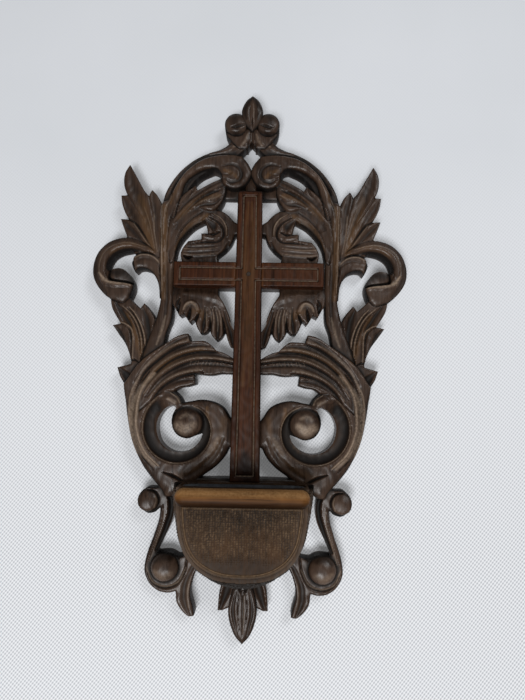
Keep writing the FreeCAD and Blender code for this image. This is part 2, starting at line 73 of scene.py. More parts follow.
def outline(*runs):
    """A closed loop of points from runs, each starting at the end of the one before."""
    corner = None
    loop = []
    for run in runs:
        points = list(run) if corner is None else [corner] + list(run)
        loop.append(smooth_run(points)[:-1])
        corner = tuple(points[-1])
    loop.append(np.array([corner], float))
    return np.vstack(loop)


def measure(name, loop):
    wide, high = np.ptp(loop, axis=0)
    print(f"{name}: {len(loop)} points, {wide:.1f} mm wide, {high:.1f} mm high")


SQUARE = outline([(0, 0), (2, 0)], [(2, 2)], [(0, 2)], [(0, 0)])
measure("a square to test with", SQUARE)

# %% [markdown]
# ## How far is it to the line?
# To round an edge or to run a groove, the wood has to know how far each of its points lies from an outline or
# from a path. Both are chains of short straight pieces, and the nearest piece gives the distance. NumPy does
# this for all the points at once, which takes seconds where a loop over points would take minutes.

# %% Distance along a path
FAR, NO_DISTANCE, NO_LENGTH = 1e9, 1e-9, 1e-12


def along(path, x, z):
    """For each point: its distance to a path, and the path's other numbers at the nearest place."""
    best = np.full(x.shape, FAR)
    extra = np.zeros(x.shape + (path.shape[1] - 2,))
    for a, b in zip(path, path[1:]):
        dx, dz = b[0] - a[0], b[1] - a[1]
        length = dx * dx + dz * dz
        if length < NO_LENGTH:
            continue
        t = np.clip(((x - a[0]) * dx + (z - a[1]) * dz) / length, 0, 1)
        d = (x - a[0] - t * dx) ** 2 + (z - a[1] - t * dz) ** 2
        closer = d < best
        best = np.where(closer, d, best)
        extra = np.where(closer[:, None], a[2:] + t[:, None] * (b[2:] - a[2:]), extra)
    return np.sqrt(best), extra


print("from (1, 1) to the square's lower side:", along(SQUARE[:2], np.array([1.0]), np.array([1.0]))[0])

# %% Distance to an outline
def in_box(x, z, points, margin):
    """Which places lie in the box around some points, with a margin."""
    low, high = points.min(0) - margin, points.max(0) + margin
    return (x > low[0]) & (x < high[0]) & (z > low[1]) & (z < high[1])


def signed_distance(loop, x, z, reach=4.0):
    """How far places lie outside a loop, negative inside; far places are given as reach."""
    near = in_box(x, z, loop, reach)
    u, v = x[near], z[near]
    distance = along(np.vstack([loop, loop[:1]]), u, v)[0]
    inside = np.zeros(u.shape, bool)
    for (ax, az), (bx, bz) in zip(loop, np.roll(loop, -1, axis=0)):
        if abs(bz - az) > NO_LENGTH:
            inside ^= ((az > v) != (bz > v)) & (u < ax + (bx - ax) * (v - az) / (bz - az))
    distance[inside] *= -1
    result = np.full(x.shape, reach)
    result[near] = np.minimum(distance, reach)
    return result


def ease(t):
    t = np.clip(t, 0, 1)
    return t * t * (3 - 2 * t)


print("inside and outside of the square:", signed_distance(SQUARE, np.array([1.0, 3.0]), np.array([1.0, 1.0])))
print("a soft step from 0 to 1:", ease(np.linspace(0, 1, 5)))

# %% Local means
# Three running means each way come close to a bell, which is 1.7 times as wide as each of them.
PASSES, BELL_WIDTH, LEAST_COUNT = 3, 1.7, 1e-6


def running_mean(a, half, axis):
    a = np.moveaxis(a, axis, 0)
    total = np.cumsum(np.pad(a, ((half + 1, half), (0, 0))), axis=0)
    return np.moveaxis((total[2 * half + 1:] - total[:-2 * half - 1]) / (2 * half + 1), 0, axis)


def local_mean(h, used, shape, pitch, radius):
    """The mean height of the wood within about a radius; openings don't count."""
    total, count = np.zeros(shape), np.zeros(shape)
    total.ravel()[used], count.ravel()[used] = h, 1
    half = max(1, round(radius / pitch / BELL_WIDTH))
    for axis in (0, 1) * PASSES:
        total, count = running_mean(total, half, axis), running_mean(count, half, axis)
    return (total / np.maximum(count, LEAST_COUNT)).ravel()[used]


print("a running mean:", running_mean(np.array([[0.0], [3.0], [0.0], [0.0]]), 1, 0).ravel())

# %% [markdown]
# ## The relief
# A relief has no undercuts, so its front is a height above the back for every (x, z). It could be sculpted by
# hand, but then no size could be changed afterwards. Here `lay` puts a motif over what is already there: full
# height inside its outline, rounded shoulders, and a steep fall just outside. The tools then follow paths
# whose third number is the half width of the stroke: a gouge leaves a round groove, a knife a sharp one, a
# hollow is wide and soft, and a ridge is left standing. Each stroke stays on the motif that was laid last.
# Marks are kept beside the heights: pale wax, which also lays painted highlights; golden rubbed wood, which also lays
# painted light; and dark patches, most of them painted shade.

# %% The relief's tools
class Relief:
    def __init__(self, x, z, used, shape, pitch):
        self.x, self.z, self.grid = x, z, (used, shape, pitch)
        self.h = np.zeros_like(x)
        self.weight = np.ones_like(x)
        self.dust, self.warm, self.grime = np.zeros((3, x.size))

    def lay(self, loop, top, drop=2.0, shoulder=3.0, step=0.9):
        """Lays a motif. Its top is a height, or a path of (x, z, height) that the height follows."""
        distance = signed_distance(loop, self.x, self.z)
        if not np.isscalar(top):
            top = along(smooth_run(top), self.x, self.z)[1][:, 0]
        t = np.clip(-distance / shoulder, 0, 1)
        body = top - drop * (1 - np.sqrt(1 - (1 - t) ** 2))
        self.weight = ease(1 - distance / step)
        self.h += (body - self.h) * self.weight
        self.dust *= 1 - self.weight

    def dome(self, x, z, radius, base, crest, tilt=(0.0, 0.0), step=0.9):
        """A berry or the end of a roll, rising from base at its rim to crest; tilt leans its face."""
        r = np.hypot(self.x - x, self.z - z)
        body = base + (crest - base) * np.sqrt(np.clip(1 - (r / radius) ** 2, 0, 1))
        body += np.where(r < radius, tilt[0] * (self.x - x) + tilt[1] * (self.z - z), 0)
        self.weight = ease(1 - (r - radius) / step)
        self.h += (body - self.h) * self.weight

    def release(self):
        """Lets the next strokes run over the whole wood, not only over the last motif."""
        self.weight[:] = 1

    def beside(self, points, pieces=6):
        """The points near a path of (x, z, half width), with the distance and the width for each."""
        path = smooth_run(points, pieces)
        near = in_box(self.x, self.z, path[:, :2], path[:, 2].max() + 0.5)
        distance, width = along(path, self.x[near], self.z[near])
        return near, distance, np.maximum(width[:, 0], 0.05), path[:, 2].max()

    def cut(self, points, depth, section, pieces):
        near, distance, width, full = self.beside(points, pieces)
        share = section(np.clip(distance / width, 0, 1))
        self.h[near] -= depth * share * np.clip(width / full, 0, 1) * self.weight[near]

    def gouge(self, points, depth, pieces=6):
        self.cut(points, depth, lambda u: 1 - u ** 2, pieces)

    def knife(self, points, depth, pieces=6):
        self.cut(points, depth, lambda u: 1 - u, pieces)

    def hollow(self, points, depth, pieces=6):
        self.cut(points, depth, lambda u: ease(1 - u), pieces)

    def ridge(self, points, height):
        self.hollow(points, -height)

    def stain(self, field, points, amount, pieces=6):
        near, distance, width, _ = self.beside(points, pieces)
        field[near] = np.maximum(field[near], amount * ease(1 - distance / width) * self.weight[near])

    def wax_and_highlight(self, points, amount, pieces=6):
        self.stain(self.dust, points, amount, pieces)

    def rub_and_light(self, points, amount):
        self.stain(self.warm, points, amount)

    def blacken(self, points, amount):
        self.stain(self.grime, points, amount)

    def soften(self, points, radius):
        """Lets the motifs along a path flow into each other, as where leaves spring from one stem."""
        near, distance, width, _ = self.beside(points)
        mean = local_mean(self.h, *self.grid, radius)
        self.h[near] += (mean[near] - self.h[near]) * ease(1 - distance / width)


print("tools:", ", ".join(name for name in vars(Relief) if not name.startswith("_")))

# %% [markdown]
# ## The leaves of the outer edge
# Three leaves stand out at the side of the plank and one hangs inside it. Each has lobes that are hollowed
# along their middles, and a knife line runs from every notch down to the root, as real leaves have veins. They
# could be modelled as bent surfaces, but the real ones are cut into a flat plank. So each is its own outline,
# which the CAD board is sawn to as well, and strokes that run from the root out to the tip. Only the half at
# x > 0 is carved, and the other half is its mirror image.

# %% Upper leaf
UPPER_LEAF = outline([(48.5, 10), (49, 28), (50.2, 41.6)], [(52.5, 46.4), (56, 50.3)], [(57.8, 46.6)],
                     [(61, 50.6), (65, 57.6), (69.2, 65)], [(71.6, 60.6), (72.3, 56), (71.6, 51), (69.8, 46.8)],
                     [(73.4, 46.7)], [(72.6, 41.6), (70.8, 36.8), (68.4, 32.6)], [(73, 32.9)],
                     [(71, 27.6), (68.2, 21)], [(60, 16), (48.5, 10)])


def carve_upper_leaf(wood):
    """A four-lobed leaf with hollow lobes; each notch sends a knife line down to the root."""
    wood.lay(UPPER_LEAF, [(50, 8, 10.8), (54, 24, 10.2), (62, 42, 9.4), (69, 62, 9.2)], 0.5, 0.9)
    wood.hollow([(51, 20, 0.6), (53, 34, 2.2), (54.6, 42, 2.2), (55.8, 49.4, 0.6)], 0.6)
    wood.hollow([(54.4, 22, 0.8), (58.6, 34, 2.8), (64, 46, 3.9), (67.6, 55, 3.2), (69, 64, 0.8)], 0.8)
    wood.hollow([(58, 22, 0.6), (63.4, 30, 2.0), (68.4, 38.4, 2.9), (72.6, 46.4, 0.8)], 0.7)
    wood.hollow([(58, 17, 0.5), (63, 22.4, 1.8), (67.8, 27.8, 2.2), (72.6, 32.6, 0.6)], 0.9)
    wood.knife([(51.6, 14, 0.4), (54, 30, 0.6), (57.8, 46.8, 0.8)], 0.35)
    wood.knife([(60, 32, 0.4), (66, 41, 0.7), (69.6, 47, 0.9)], 0.5)
    wood.knife([(54.4, 16, 0.4), (60, 24.4, 0.7), (64.4, 30.2, 0.9), (68.8, 33, 1.0)], 1.2)
    wood.ridge([(55, 15.4, 0.5), (61, 23.4, 0.8), (66, 28.6, 0.7)], 0.5)
    wood.wax_and_highlight([(55.4, 16, 0.3), (61.4, 24.6, 0.6), (65.6, 30.6, 0.5)], 0.35)
    wood.wax_and_highlight([(53, 16, 0.3), (56.4, 30, 0.4), (60, 40, 0.3)], 0.3)
    wood.wax_and_highlight([(51.4, 14, 0.3), (53.6, 26, 0.5), (54.4, 36, 0.3)], 0.4)
    wood.rub_and_light([(54, 14, 3), (58, 28, 5), (61, 40, 5), (63, 46, 3)], 0.8)


measure("upper leaf", UPPER_LEAF)

# %% Middle leaf
MIDDLE_LEAF = outline([(66.4, -12), (63.4, -15), (59.8, -18.1)], [(57.6, -15.2)],
                      [(54, -19.4), (52, -23), (50.6, -27)], [(46, -40), (56, -60), (66.8, -60)],
                      [(69.4, -55.6), (71, -50.9)], [(67, -49.8), (63.4, -48.8)],
                      [(64.6, -43.4), (67.4, -37.8), (71.2, -32.6), (74.6, -27.6)], [(70.2, -26.6)],
                      [(73.6, -21.4), (75.6, -17), (76.3, -12.6)], [(70, -10), (66.4, -12)])


def carve_middle_leaf(wood):
    """The leaf below the side scroll, with long raised ribs."""
    wood.lay(MIDDLE_LEAF, [(72, -12, 10.4), (62, -28, 9.6), (60, -44, 10.4), (64, -60, 9.4)], 0.5, 0.9)
    wood.hollow([(54, -44, 0.8), (54.6, -32, 2.6), (56, -24, 2.8), (58.4, -17.6, 1.0)], 1.5)
    wood.hollow([(63, -38, 0.6), (64.6, -29, 1.9), (68.4, -22.4, 2.6), (73, -15.6, 1.2)], 1.5)
    wood.hollow([(64.8, -47, 0.6), (67.4, -38, 2.0), (70.6, -31.6, 2.2), (74, -27.8, 0.7)], 1.4)
    wood.gouge([(60, -62, 0.8), (65, -56, 2.4), (70, -51.2, 0.8)], 1.5)
    wood.knife([(59, -48, 0.4), (62.6, -46.6, 0.9), (66, -49.4, 0.5)], 1.2)
    for rib in ([(56, -44, 0.4), (56.5, -35, 0.8), (58.7, -27.6, 0.8), (62.4, -21, 0.7), (65.8, -17.4, 0.4)],
                [(57.6, -44, 0.4), (58.4, -35, 0.7), (61, -26.9, 0.8), (64.8, -21, 0.7), (69.4, -17, 0.4)],
                [(62.6, -46, 0.4), (62.9, -36, 0.8), (64.2, -29.8, 0.8), (67.3, -26.9, 0.7), (70.6, -26, 0.4)]):
        wood.ridge(rib, 0.8)
        wood.knife([(x + 1.1, z - 0.5, w * 0.8) for x, z, w in rib], 0.7)
        wood.wax_and_highlight([(x, z, w * 0.75) for x, z, w in rib], 0.75)
    wood.rub_and_light([(57, -46, 3), (61, -34, 4), (67, -23, 4)], 0.8)


measure("middle leaf", MIDDLE_LEAF)

# %% Hanging leaf
HANGING_LEAF = outline([(17, 6), (17, -9.6)], [(13.2, -15.6), (10.6, -21.6), (9.2, -27), (6.4, -31)],
                       [(6.4, -38.8), (9.8, -38.2)], [(11.4, -34.4), (12.8, -29.6)],
                       [(14.6, -33.2), (17.2, -35.4)], [(19.8, -32.6), (21.6, -29)],
                       [(23.6, -31), (26.2, -31.4)], [(28.2, -28), (30, -23.6)], [(32.2, -25.8)],
                       [(34, -23.2), (35.2, -20.6)], [(38, -22)], [(39.8, -18.8), (43, -13)],
                       [(43, 6), (17, 6)])


def carve_hanging_leaf(wood):
    """A smooth turned-over root, then folds that deepen towards the five tips."""
    wood.lay(HANGING_LEAF, [(30, 2, 7.4), (27, -9, 9.8), (24, -16, 10.2), (18, -27, 8.6), (12, -38, 6.8)], 0.5, 0.9)
    wood.ridge([(10, -17, 1.5), (17, -12.6, 3.0), (26, -9.8, 3.2), (36, -9, 1.6)], 0.7)
    wood.hollow([(13.4, -19, 0.7), (11.6, -25, 1.8), (9.6, -31, 2.2), (8.4, -37.8, 0.9)], 1.6)
    wood.hollow([(18.6, -17, 0.6), (17.4, -23, 1.5), (16.8, -29, 2.0), (17, -35.6, 0.8)], 1.6)
    wood.hollow([(24, -17, 0.6), (24, -22, 1.5), (24.6, -26.6, 1.9), (25.4, -31.8, 0.8)], 1.6)
    wood.ridge([(26.6, -22.6, 0.8), (27.6, -18, 1.4), (29.2, -15.2, 1.6), (31.8, -14.2, 1.6), (34.4, -15.4, 1.5),
                (35.8, -18.2, 1.3), (36.8, -22.6, 0.7)], 1.2)
    wood.knife([(31.9, -17, 0.5), (32.4, -19.6, 1.2), (33.2, -23, 1.6)], 2.6)
    wood.gouge([(38, -12, 0.5), (39.6, -15.6, 1.0), (39, -19.8, 0.6)], 1.3)
    wood.knife([(14.4, -22, 0.4), (13.4, -27, 1.2), (12.8, -31.4, 1.3)], 2.8)
    wood.knife([(20.8, -21, 0.4), (21, -26, 1.1), (21.3, -30.8, 1.2)], 2.6)
    wood.knife([(26.4, -19, 0.4), (28, -22, 1.0), (29.6, -25.4, 1.2)], 2.6)
    wood.knife([(37.6, -14, 0.4), (38.4, -16.6, 0.9), (39, -19.4, 1.0)], 2.2)
    for x0, x1, z1 in ((15.2, 14.6, -27), (17, 16.4, -30), (18.6, 18.4, -30), (20, 20, -25), (22, 22.6, -28)):
        wood.knife([(x0 + 0.8, -17, 0.3), (x1, -23, 0.5), (x1, z1, 0.3)], 0.5)
        wood.wax_and_highlight([(x0 + 1.3, -18, 0.2), (x1 + 0.5, -23, 0.45), (x1 + 0.5, z1, 0.2)], 0.55)
    # A painted highlight along the arched ridge.
    wood.wax_and_highlight([(28.2, -18.6, 0.8), (29.6, -15.8, 1.2), (31.8, -14.6, 1.3), (34.4, -16, 1.2), (35.6, -18.6, 0.7)], 0.6)
    wood.rub_and_light([(24, -24, 2), (26, -20, 3), (30, -19, 3)], 0.6)


measure("hanging leaf", HANGING_LEAF)

# %% [markdown]
# ## The scrolls
# The scrolls are bands that roll up at their ends. A band is a raised shape with a gouge along its middle, and the end
# of a roll is a low dome, which `dome` sets into it. A spiral curve with a bevel would give every turn the same round
# section. Cutting the band from the plank keeps the flat back and the changing width that the carver drew. Painted
# shade in the roots of the rolls makes them stand out.

# %% Lower scroll
LOWER_SCROLL = outline([(40, -112), (47.4, -114.6), (52.4, -114.9), (55.8, -117.8), (56.7, -121.6),
                        (55.2, -126), (51.6, -128.4), (47.6, -127.6), (44.9, -125)],
                       [(45.6, -131.4), (48, -139.6), (50.8, -148), (52.2, -154.6), (51.9, -159.6),
                        (49, -164.8), (44.2, -168.2), (39, -168.9), (35.4, -168)],
                       [(34.8, -173), (32.4, -176.9), (28.4, -180.2), (25.2, -179.9)],
                       [(26.2, -175.4), (27.7, -170.4), (27.4, -165), (25.2, -158), (22, -153)],
                       [(22, -146), (30, -149.4), (34.8, -150.2)], [(39.4, -148.2), (46.2, -148.6)],
                       [(42.4, -140.4), (39.2, -133.4), (37.8, -126.4), (38.4, -119.4)],
                       [(34, -114), (40, -112)])


def carve_lower_scroll(wood):
    """An S scroll: a rolled end above, a larger roll below, and a small leaf that hangs from it."""
    wood.lay(LOWER_SCROLL, [(44, -114, 9.6), (41.4, -126, 8.2), (44, -140, 7.6), (49, -152, 8.4), (44, -166, 8.4),
              (32, -166, 8.4), (29, -178, 9)], 0.8, 1.4)
    wood.gouge([(42.6, -115, 1.0), (39.6, -121, 1.7), (39.4, -128, 1.9), (41.4, -135, 1.8), (44.6, -143, 1.4),
                (46.6, -147, 0.8)], 2.8)
    wood.ridge([(43.4, -124, 0.6), (44.4, -133, 0.9), (47.4, -143, 0.9), (50.6, -153, 0.7)], 0.6)
    wood.wax_and_highlight([(43, -126, 0.3), (43.6, -133, 0.5), (46.4, -143, 0.5), (49.4, -153, 0.3)], 0.4)
    wood.hollow([(24.5, -152, 0.8), (28, -158, 1.8), (30.6, -165, 2.2), (30.8, -172, 2.4), (28, -179, 1.0)], 0.9)
    wood.wax_and_highlight([(27.6, -160, 0.3), (29, -168, 0.8), (28.2, -176, 0.4)], 0.35)
    wood.dome(51.4, -121.3, 5.6, 9.4, 11.4, (0.05, -0.12))
    wood.knife([(52, -116, 0.4), (47.8, -116.8, 0.8), (45.6, -120.6, 1.0), (46.4, -125, 0.8), (49.6, -127.2, 0.4)],
               1.6)
    wood.wax_and_highlight([(47.6, -118.4, 0.3), (46.8, -121.4, 0.6), (48, -125.2, 0.4)], 0.5)
    wood.dome(41.4, -155.4, 7.4, 8.2, 12.8, (0.05, -0.12))
    # Painted shade in the root above the lower ball.
    wood.blacken([(38, -151, 2), (42, -150, 3), (46, -152, 2)], 0.6)
    wood.release()
    wood.knife([(29.6, -150, 0.6), (31, -158, 0.9), (35, -164.2, 1.0), (41.4, -166.2, 1.0), (47.4, -163.8, 0.9),
                (50.4, -159, 0.6)], 1.0)
    wood.wax_and_highlight([(30.4, -156, 0.4), (34.4, -163.4, 0.7), (41.4, -165.6, 0.8), (48, -163, 0.7), (51, -156, 0.4)], 0.45)
    # Pale dust speckle with a painted highlight over the lower ball's lower side.
    wood.wax_and_highlight([(38, -158, 2.5), (42, -159.6, 3.5), (46, -157, 2)], 0.28)


measure("lower scroll", LOWER_SCROLL)

# %% Volute
VOLUTE = outline([(39.4, -63.2), (36.2, -66.2), (34.4, -69.4)],
                 [(30, -68.6), (24, -67.6), (17.6, -68.8), (12.4, -71.8), (9.2, -76.6), (6.4, -80)],
                 [(6.4, -91), (8.8, -93.4)], [(11.6, -98.6), (16.4, -103.6), (22, -107.6), (27, -112)],
                 [(40, -119), (44.2, -115.6)],
                 [(49, -110.6), (54.6, -103.6), (59, -95.6), (61.9, -88), (63.8, -80), (65.2, -72), (66.8, -60)],
                 [(56, -57), (46, -60), (39.4, -63.2)])
CRESCENT = outline([(37.6, -72.2), (40.4, -71.2), (44.4, -73.2), (47.5, -77.6), (48.5, -83), (46.6, -90),
                    (42, -94.5), (36, -96.2), (30, -94.6), (25.4, -90.6), (23.2, -85.6)],
                   [(27, -87), (31.8, -88.6), (37, -86.6), (40, -81.6), (39.9, -77), (37.6, -72.2)])
VOLUTE_X, VOLUTE_Z = 36.2, -82.8
VOLUTE_TOP, COVE_DEPTH = 12.0, 4.2
# The radii that the cove's middle and its width are counted from, and where it starts, ends and fades.
MIDDLE_FROM, WIDTH_FROM = 11, 10.6
COVE_START, COVE_END, COVE_FADE = -250, 66, 30
# The cove's outer radius at each turn in degrees.
COVE_TURNS = [-240, -220, -200, -180, -150, -90, 0, 100]
COVE_EDGE = [13.4, 15, 16.4, 17.4, 18.2, 18.8, 19.4, 20]


def wind_cove(wood):
    """A hollow that winds round the opening and tightens on its way in."""
    x, z = wood.x - VOLUTE_X, wood.z - VOLUTE_Z
    r, turn = np.hypot(x, z), np.degrees(np.arctan2(z, x))
    wound = np.where(turn > COVE_TURNS[-1], turn - 360, turn)
    edge = np.interp(wound, COVE_TURNS, COVE_EDGE)
    middle, half = (edge + MIDDLE_FROM) / 2, (edge - WIDTH_FROM) / 2
    cove = VOLUTE_TOP - COVE_DEPTH * np.sqrt(np.clip(1 - ((r - middle) / half) ** 2, 0, 1))
    ring = (ease((edge - r) / 0.5) * wood.weight * ease((COVE_END - wound) / COVE_FADE)
            * ease((wound - COVE_START) / COVE_FADE))
    wood.h += (np.minimum(cove, VOLUTE_TOP) - wood.h) * ring
    line = []
    for degrees in range(-236, 60, 8):
        angle, radius = math.radians(degrees), np.interp(degrees, COVE_TURNS, COVE_EDGE) + 0.2
        line.append((VOLUTE_X + radius * math.cos(angle), VOLUTE_Z + radius * math.sin(angle)))
    wood.knife([(px, pz, 0.6) for px, pz in line], 1.3, 1)
    wood.wax_and_highlight([(px, pz, 0.45) for px, pz in line], 0.6, 1)


def carve_volute(wood):
    """The open volute: a cove winds round the opening, tightens on the axis side and ends over the ball."""
    wood.lay(VOLUTE, VOLUTE_TOP, 2.6, 6.0)
    wind_cove(wood)
    wood.ridge([(46, -68, 1.0), (41.6, -67.4, 2.6), (38.4, -69.4, 2.4)], 0.9)
    wood.knife([(40.4, -63.8, 0.4), (36.8, -66.6, 0.7), (35.2, -69.6, 0.5)], 0.8)
    wood.wax_and_highlight([(41, -64.4, 0.3), (37.4, -66.8, 0.7), (36, -69.6, 0.6)], 0.6)
    wood.wax_and_highlight([(42, -67.6, 1.4), (38.6, -69.2, 2.0)], 0.4)
    wood.hollow([(12, -88, 1.4), (16, -96, 2.4), (23, -103.4, 2.6), (31, -108.6, 1.6)], 0.7)
    wood.knife([(30, -113, 0.8), (37, -108.8, 1.2), (43.4, -106.4, 0.5)], 2.2)
    wood.dome(31.8, -80.2, 8.3, 9.4, 14.6, (0, -0.05))
    wood.soften([(22, -75, 2), (26, -73, 3.2), (32, -72.4, 3.4), (37.4, -74.6, 2)], 1.5)
    wood.release()
    # Pale dust speckle with painted highlights over the ball's lower part and its top, and painted shade where the
    # ball meets the band above it.
    wood.wax_and_highlight([(28, -81, 3), (32, -83.6, 4.6), (36, -82, 4)], 0.75)
    wood.wax_and_highlight([(29, -77, 1.4), (32, -76, 2), (35, -77.6, 1.4)], 0.35)
    wood.blacken([(30, -75, 2), (33, -77, 3)], 0.5)
    wood.wax_and_highlight([(15, -88, 1.5), (17, -92, 2.4), (20, -96, 1.5)], 0.4)
    wood.rub_and_light([(12, -78, 3), (14, -90, 4), (22, -101, 4), (36, -108, 3)], 0.5)
    # Painted light: golden on the lit side of the cove, towards the axis.
    wood.rub_and_light([(21, -72, 1.5), (20.6, -82, 2.6), (23, -90, 2.4), (29, -96, 1.4)], 1.0)


measure("volute", VOLUTE)
measure("its opening", CRESCENT)

# %% Side scroll
SIDE_SCROLL = outline([(49, 8), (54, 15), (61, 19.8), (68.4, 21.9), (74.5, 21.2), (80, 18.7), (84.2, 14.3),
                       (86.5, 9), (87.2, 3.6), (86.4, -1.4), (83.8, -6.2), (80, -10.5), (76.3, -13.2)],
                      [(70, -15), (66.4, -12.5)],
                      [(65, -9.5), (64.2, -5.3), (65.6, -0.9), (68.6, 2.9), (72.6, 4.4), (78.6, 3.2)],
                      [(78.8, 6.8), (76.6, 11), (72.4, 13.8), (66.4, 15.2)], [(60, 10), (49, 8)])


# The line below which the band passes over its own rolled end.
FINGER_X, FINGER_Z, FINGER_RISE = 64, -4.2, 0.13


def carve_side_scroll(wood):
    """The C scroll at the side, which passes over its own rolled end like a finger."""
    wood.lay(SIDE_SCROLL, 11.2, 1.7, 4.2)
    wood.gouge([(58, 17.6, 1.0), (67, 20.4, 1.5), (75, 19.6, 1.9), (81.8, 15.6, 2.1), (85.2, 8.4, 2.1),
                (85.4, 2, 2.1), (83, -4.4, 1.9), (78.8, -9.8, 1.2)], 0.9)
    rim = [(58, 16.2, 0.4), (67, 18.6, 0.7), (74.6, 17.8, 0.8), (80.4, 14, 0.8), (83, 8, 0.8), (83.2, 2, 0.8),
           (80.8, -3.6, 0.7)]
    wood.knife(rim, 0.7)
    wood.wax_and_highlight([(x, z, w * 0.6) for x, z, w in rim], 0.4)
    wood.hollow([(54, 11, 0.8), (62, 14.4, 1.8), (70, 14.4, 2.4), (75.6, 11.4, 2.6), (78.6, 6.4, 2.2),
                 (78.6, 2.6, 0.9)], 2.4)
    wood.rub_and_light([(60, 17, 1.5), (70, 17.6, 2.5), (78, 13, 2)], 0.5)
    band = wood.h.copy()
    wood.dome(70.4, 0.0, 7.4, 7.4, 9.4, (0.12, 0.16))
    wood.h += (band - wood.h) * ease(((wood.x - FINGER_X) * FINGER_RISE + FINGER_Z - wood.z) / 0.8)
    wood.release()
    wood.ridge([(65.6, -6.0, 0.8), (70.6, -5.4, 1.6), (76, -5.2, 1.9), (81.0, -3.0, 1.8), (83.6, 1, 1.0)], 0.8)
    wood.knife([(63.4, -6.6, 0.4), (64.8, -4.6, 0.7), (68, -3.2, 0.8), (73, -2.8, 0.9), (77.4, -1.6, 0.9),
                (79.6, 2, 0.7), (79.6, 5, 0.4)], 1.3)
    # A painted highlight along the top of the finger.
    wood.wax_and_highlight([(65.4, -5.4, 0.5), (70, -4.4, 1.2), (75, -4.2, 1.4), (80, -2.4, 1.4), (83.2, 1.6, 0.8)], 0.9)
    # Painted shade on the rolled end under the band, and in the recess below the finger's tip.
    wood.blacken([(65, -1, 3), (70, 2, 4.6), (75.6, 2, 3.4), (78, 4, 1.2)], 0.85)
    wood.blacken([(63.2, -5.6, 1.0), (64.2, -8.6, 1.2), (66.2, -10.8, 0.9)], 0.8)


measure("side scroll", SIDE_SCROLL)

# %% Curl
CURL = outline([(46, 4), (50, 9.4), (54.6, 12.8), (60, 13.4), (64, 11.9), (65.7, 8.6), (65.2, 5.6), (63.8, 2.6)],
               [(61.6, 4.6), (58, 4.6), (54.6, 2.9), (52, -0.4), (50.2, -5), (49.4, -12)],
               [(46, -12), (46, 4)])


def carve_curl(wood):
    """The short curl that springs from the same stem, with a raised edge."""
    wood.lay(CURL, 10.4, 1.6, 3.2)
    wood.hollow([(49.6, 5.4, 0.5), (54.4, 9.4, 1.6), (60, 10, 1.8), (63.6, 8, 0.8)], 0.5)
    edge = [(47.4, -6, 0.4), (47.6, 2, 0.6), (50.4, 8, 0.6), (54.8, 11.6, 0.6), (60, 12.3, 0.6), (64, 10.6, 0.5)]
    wood.ridge(edge, 0.4)
    wood.wax_and_highlight(edge, 0.55)
    wood.hollow([(65.6, 11, 0.7), (65, 7.4, 1.0), (63.6, 2.4, 0.7)], 1.4)


measure("curl", CURL)

# %% Small scroll
SMALL_SCROLL = outline([(28, 41), (22, 39), (16.4, 38.6)], [(12.5, 36), (9.2, 32.6), (6, 30.8)],
                       [(6, 26), (8.6, 24.8)], [(10.2, 20.6), (13.4, 16.4), (18, 12.6)], [(18, 3), (36, 3)],
                       [(38.4, 11.5), (37.8, 16), (34.6, 20.6)], [(30, 21.4), (27.3, 21.8)], [(27.4, 25.2)],
                       [(23.6, 25.4)], [(25.4, 33)], [(31.4, 29.6), (36.6, 24.4), (40.4, 18), (42.4, 9)],
                       [(44.5, 9), (44.5, 24), (38, 35), (28, 41)])


def carve_small_scroll(wood):
    """The little scroll above the arm: a band on the left, a spooned bud, and a fan of shallow gouges."""
    wood.lay(SMALL_SCROLL, [(26, 38, 9.6), (12, 32, 8.6), (13, 18, 8.4), (26, 12, 9.4), (38, 8, 10)], 0.8, 1.4)
    wood.ridge([(22, 36.6, 0.5), (16.2, 33.6, 0.8), (13.4, 29, 0.9), (13, 24, 0.7)], 0.9)
    wood.wax_and_highlight([(20.6, 36.4, 0.3), (16.4, 33.8, 0.6), (13.8, 29.4, 0.6), (13.2, 24.6, 0.4)], 0.55)
    wood.knife([(23, 34.6, 0.6), (18, 31.6, 0.9), (15.4, 28, 0.9), (15.2, 23.6, 0.9), (18.6, 20.6, 0.8),
                (25, 20.2, 0.9), (32, 19.2, 0.5)], 1.2)
    wood.gouge([(24.4, 33, 1.0), (21, 30, 2.6), (20.2, 27.4, 1.6)], 1.6)
    wood.knife([(24.8, 25.2, 0.5), (20.6, 25, 0.9), (17.4, 26.4, 0.7)], 1.5)
    wood.ridge([(17, 23.2, 0.5), (21.6, 22.6, 1.0), (27, 23.4, 0.6)], 0.6)
    wood.hollow([(11.6, 21, 0.8), (13.8, 16.4, 1.4), (17, 12.4, 0.9)], 1.1)
    wood.hollow([(16.6, 18.6, 0.5), (24, 17.6, 1.2), (31, 17, 1.2), (37, 17.2, 0.5)], 0.45)
    wood.hollow([(17, 15.6, 0.5), (25, 14.6, 1.2), (32, 14, 1.2), (37.6, 14, 0.5)], 0.45)
    wood.hollow([(18, 12.6, 0.5), (25, 11.6, 1.1), (31, 11.2, 1.0), (35, 12, 0.5)], 0.45)
    for z in (16.2, 13.0):
        wood.wax_and_highlight([(18, z + 1, 0.2), (25, z, 0.45), (32, z - 0.3, 0.45), (37, z - 0.2, 0.2)], 0.4)
    wood.knife([(32.4, 11.4, 0.7), (34.6, 10.8, 1.2), (36.8, 12, 0.8)], 2.4)
    wood.knife([(27, 37.6, 0.6), (33, 33.4, 0.9), (38.4, 27, 0.9), (42, 18, 0.5)], 0.8)
    wood.gouge([(26, 34.6, 0.6), (32, 29.6, 1.9), (37, 24, 1.9), (41.4, 14, 0.8)], 1.2)
    wood.rub_and_light([(24, 36, 2), (34, 28, 3.5), (40, 16, 3)], 0.8)


measure("small scroll", SMALL_SCROLL)

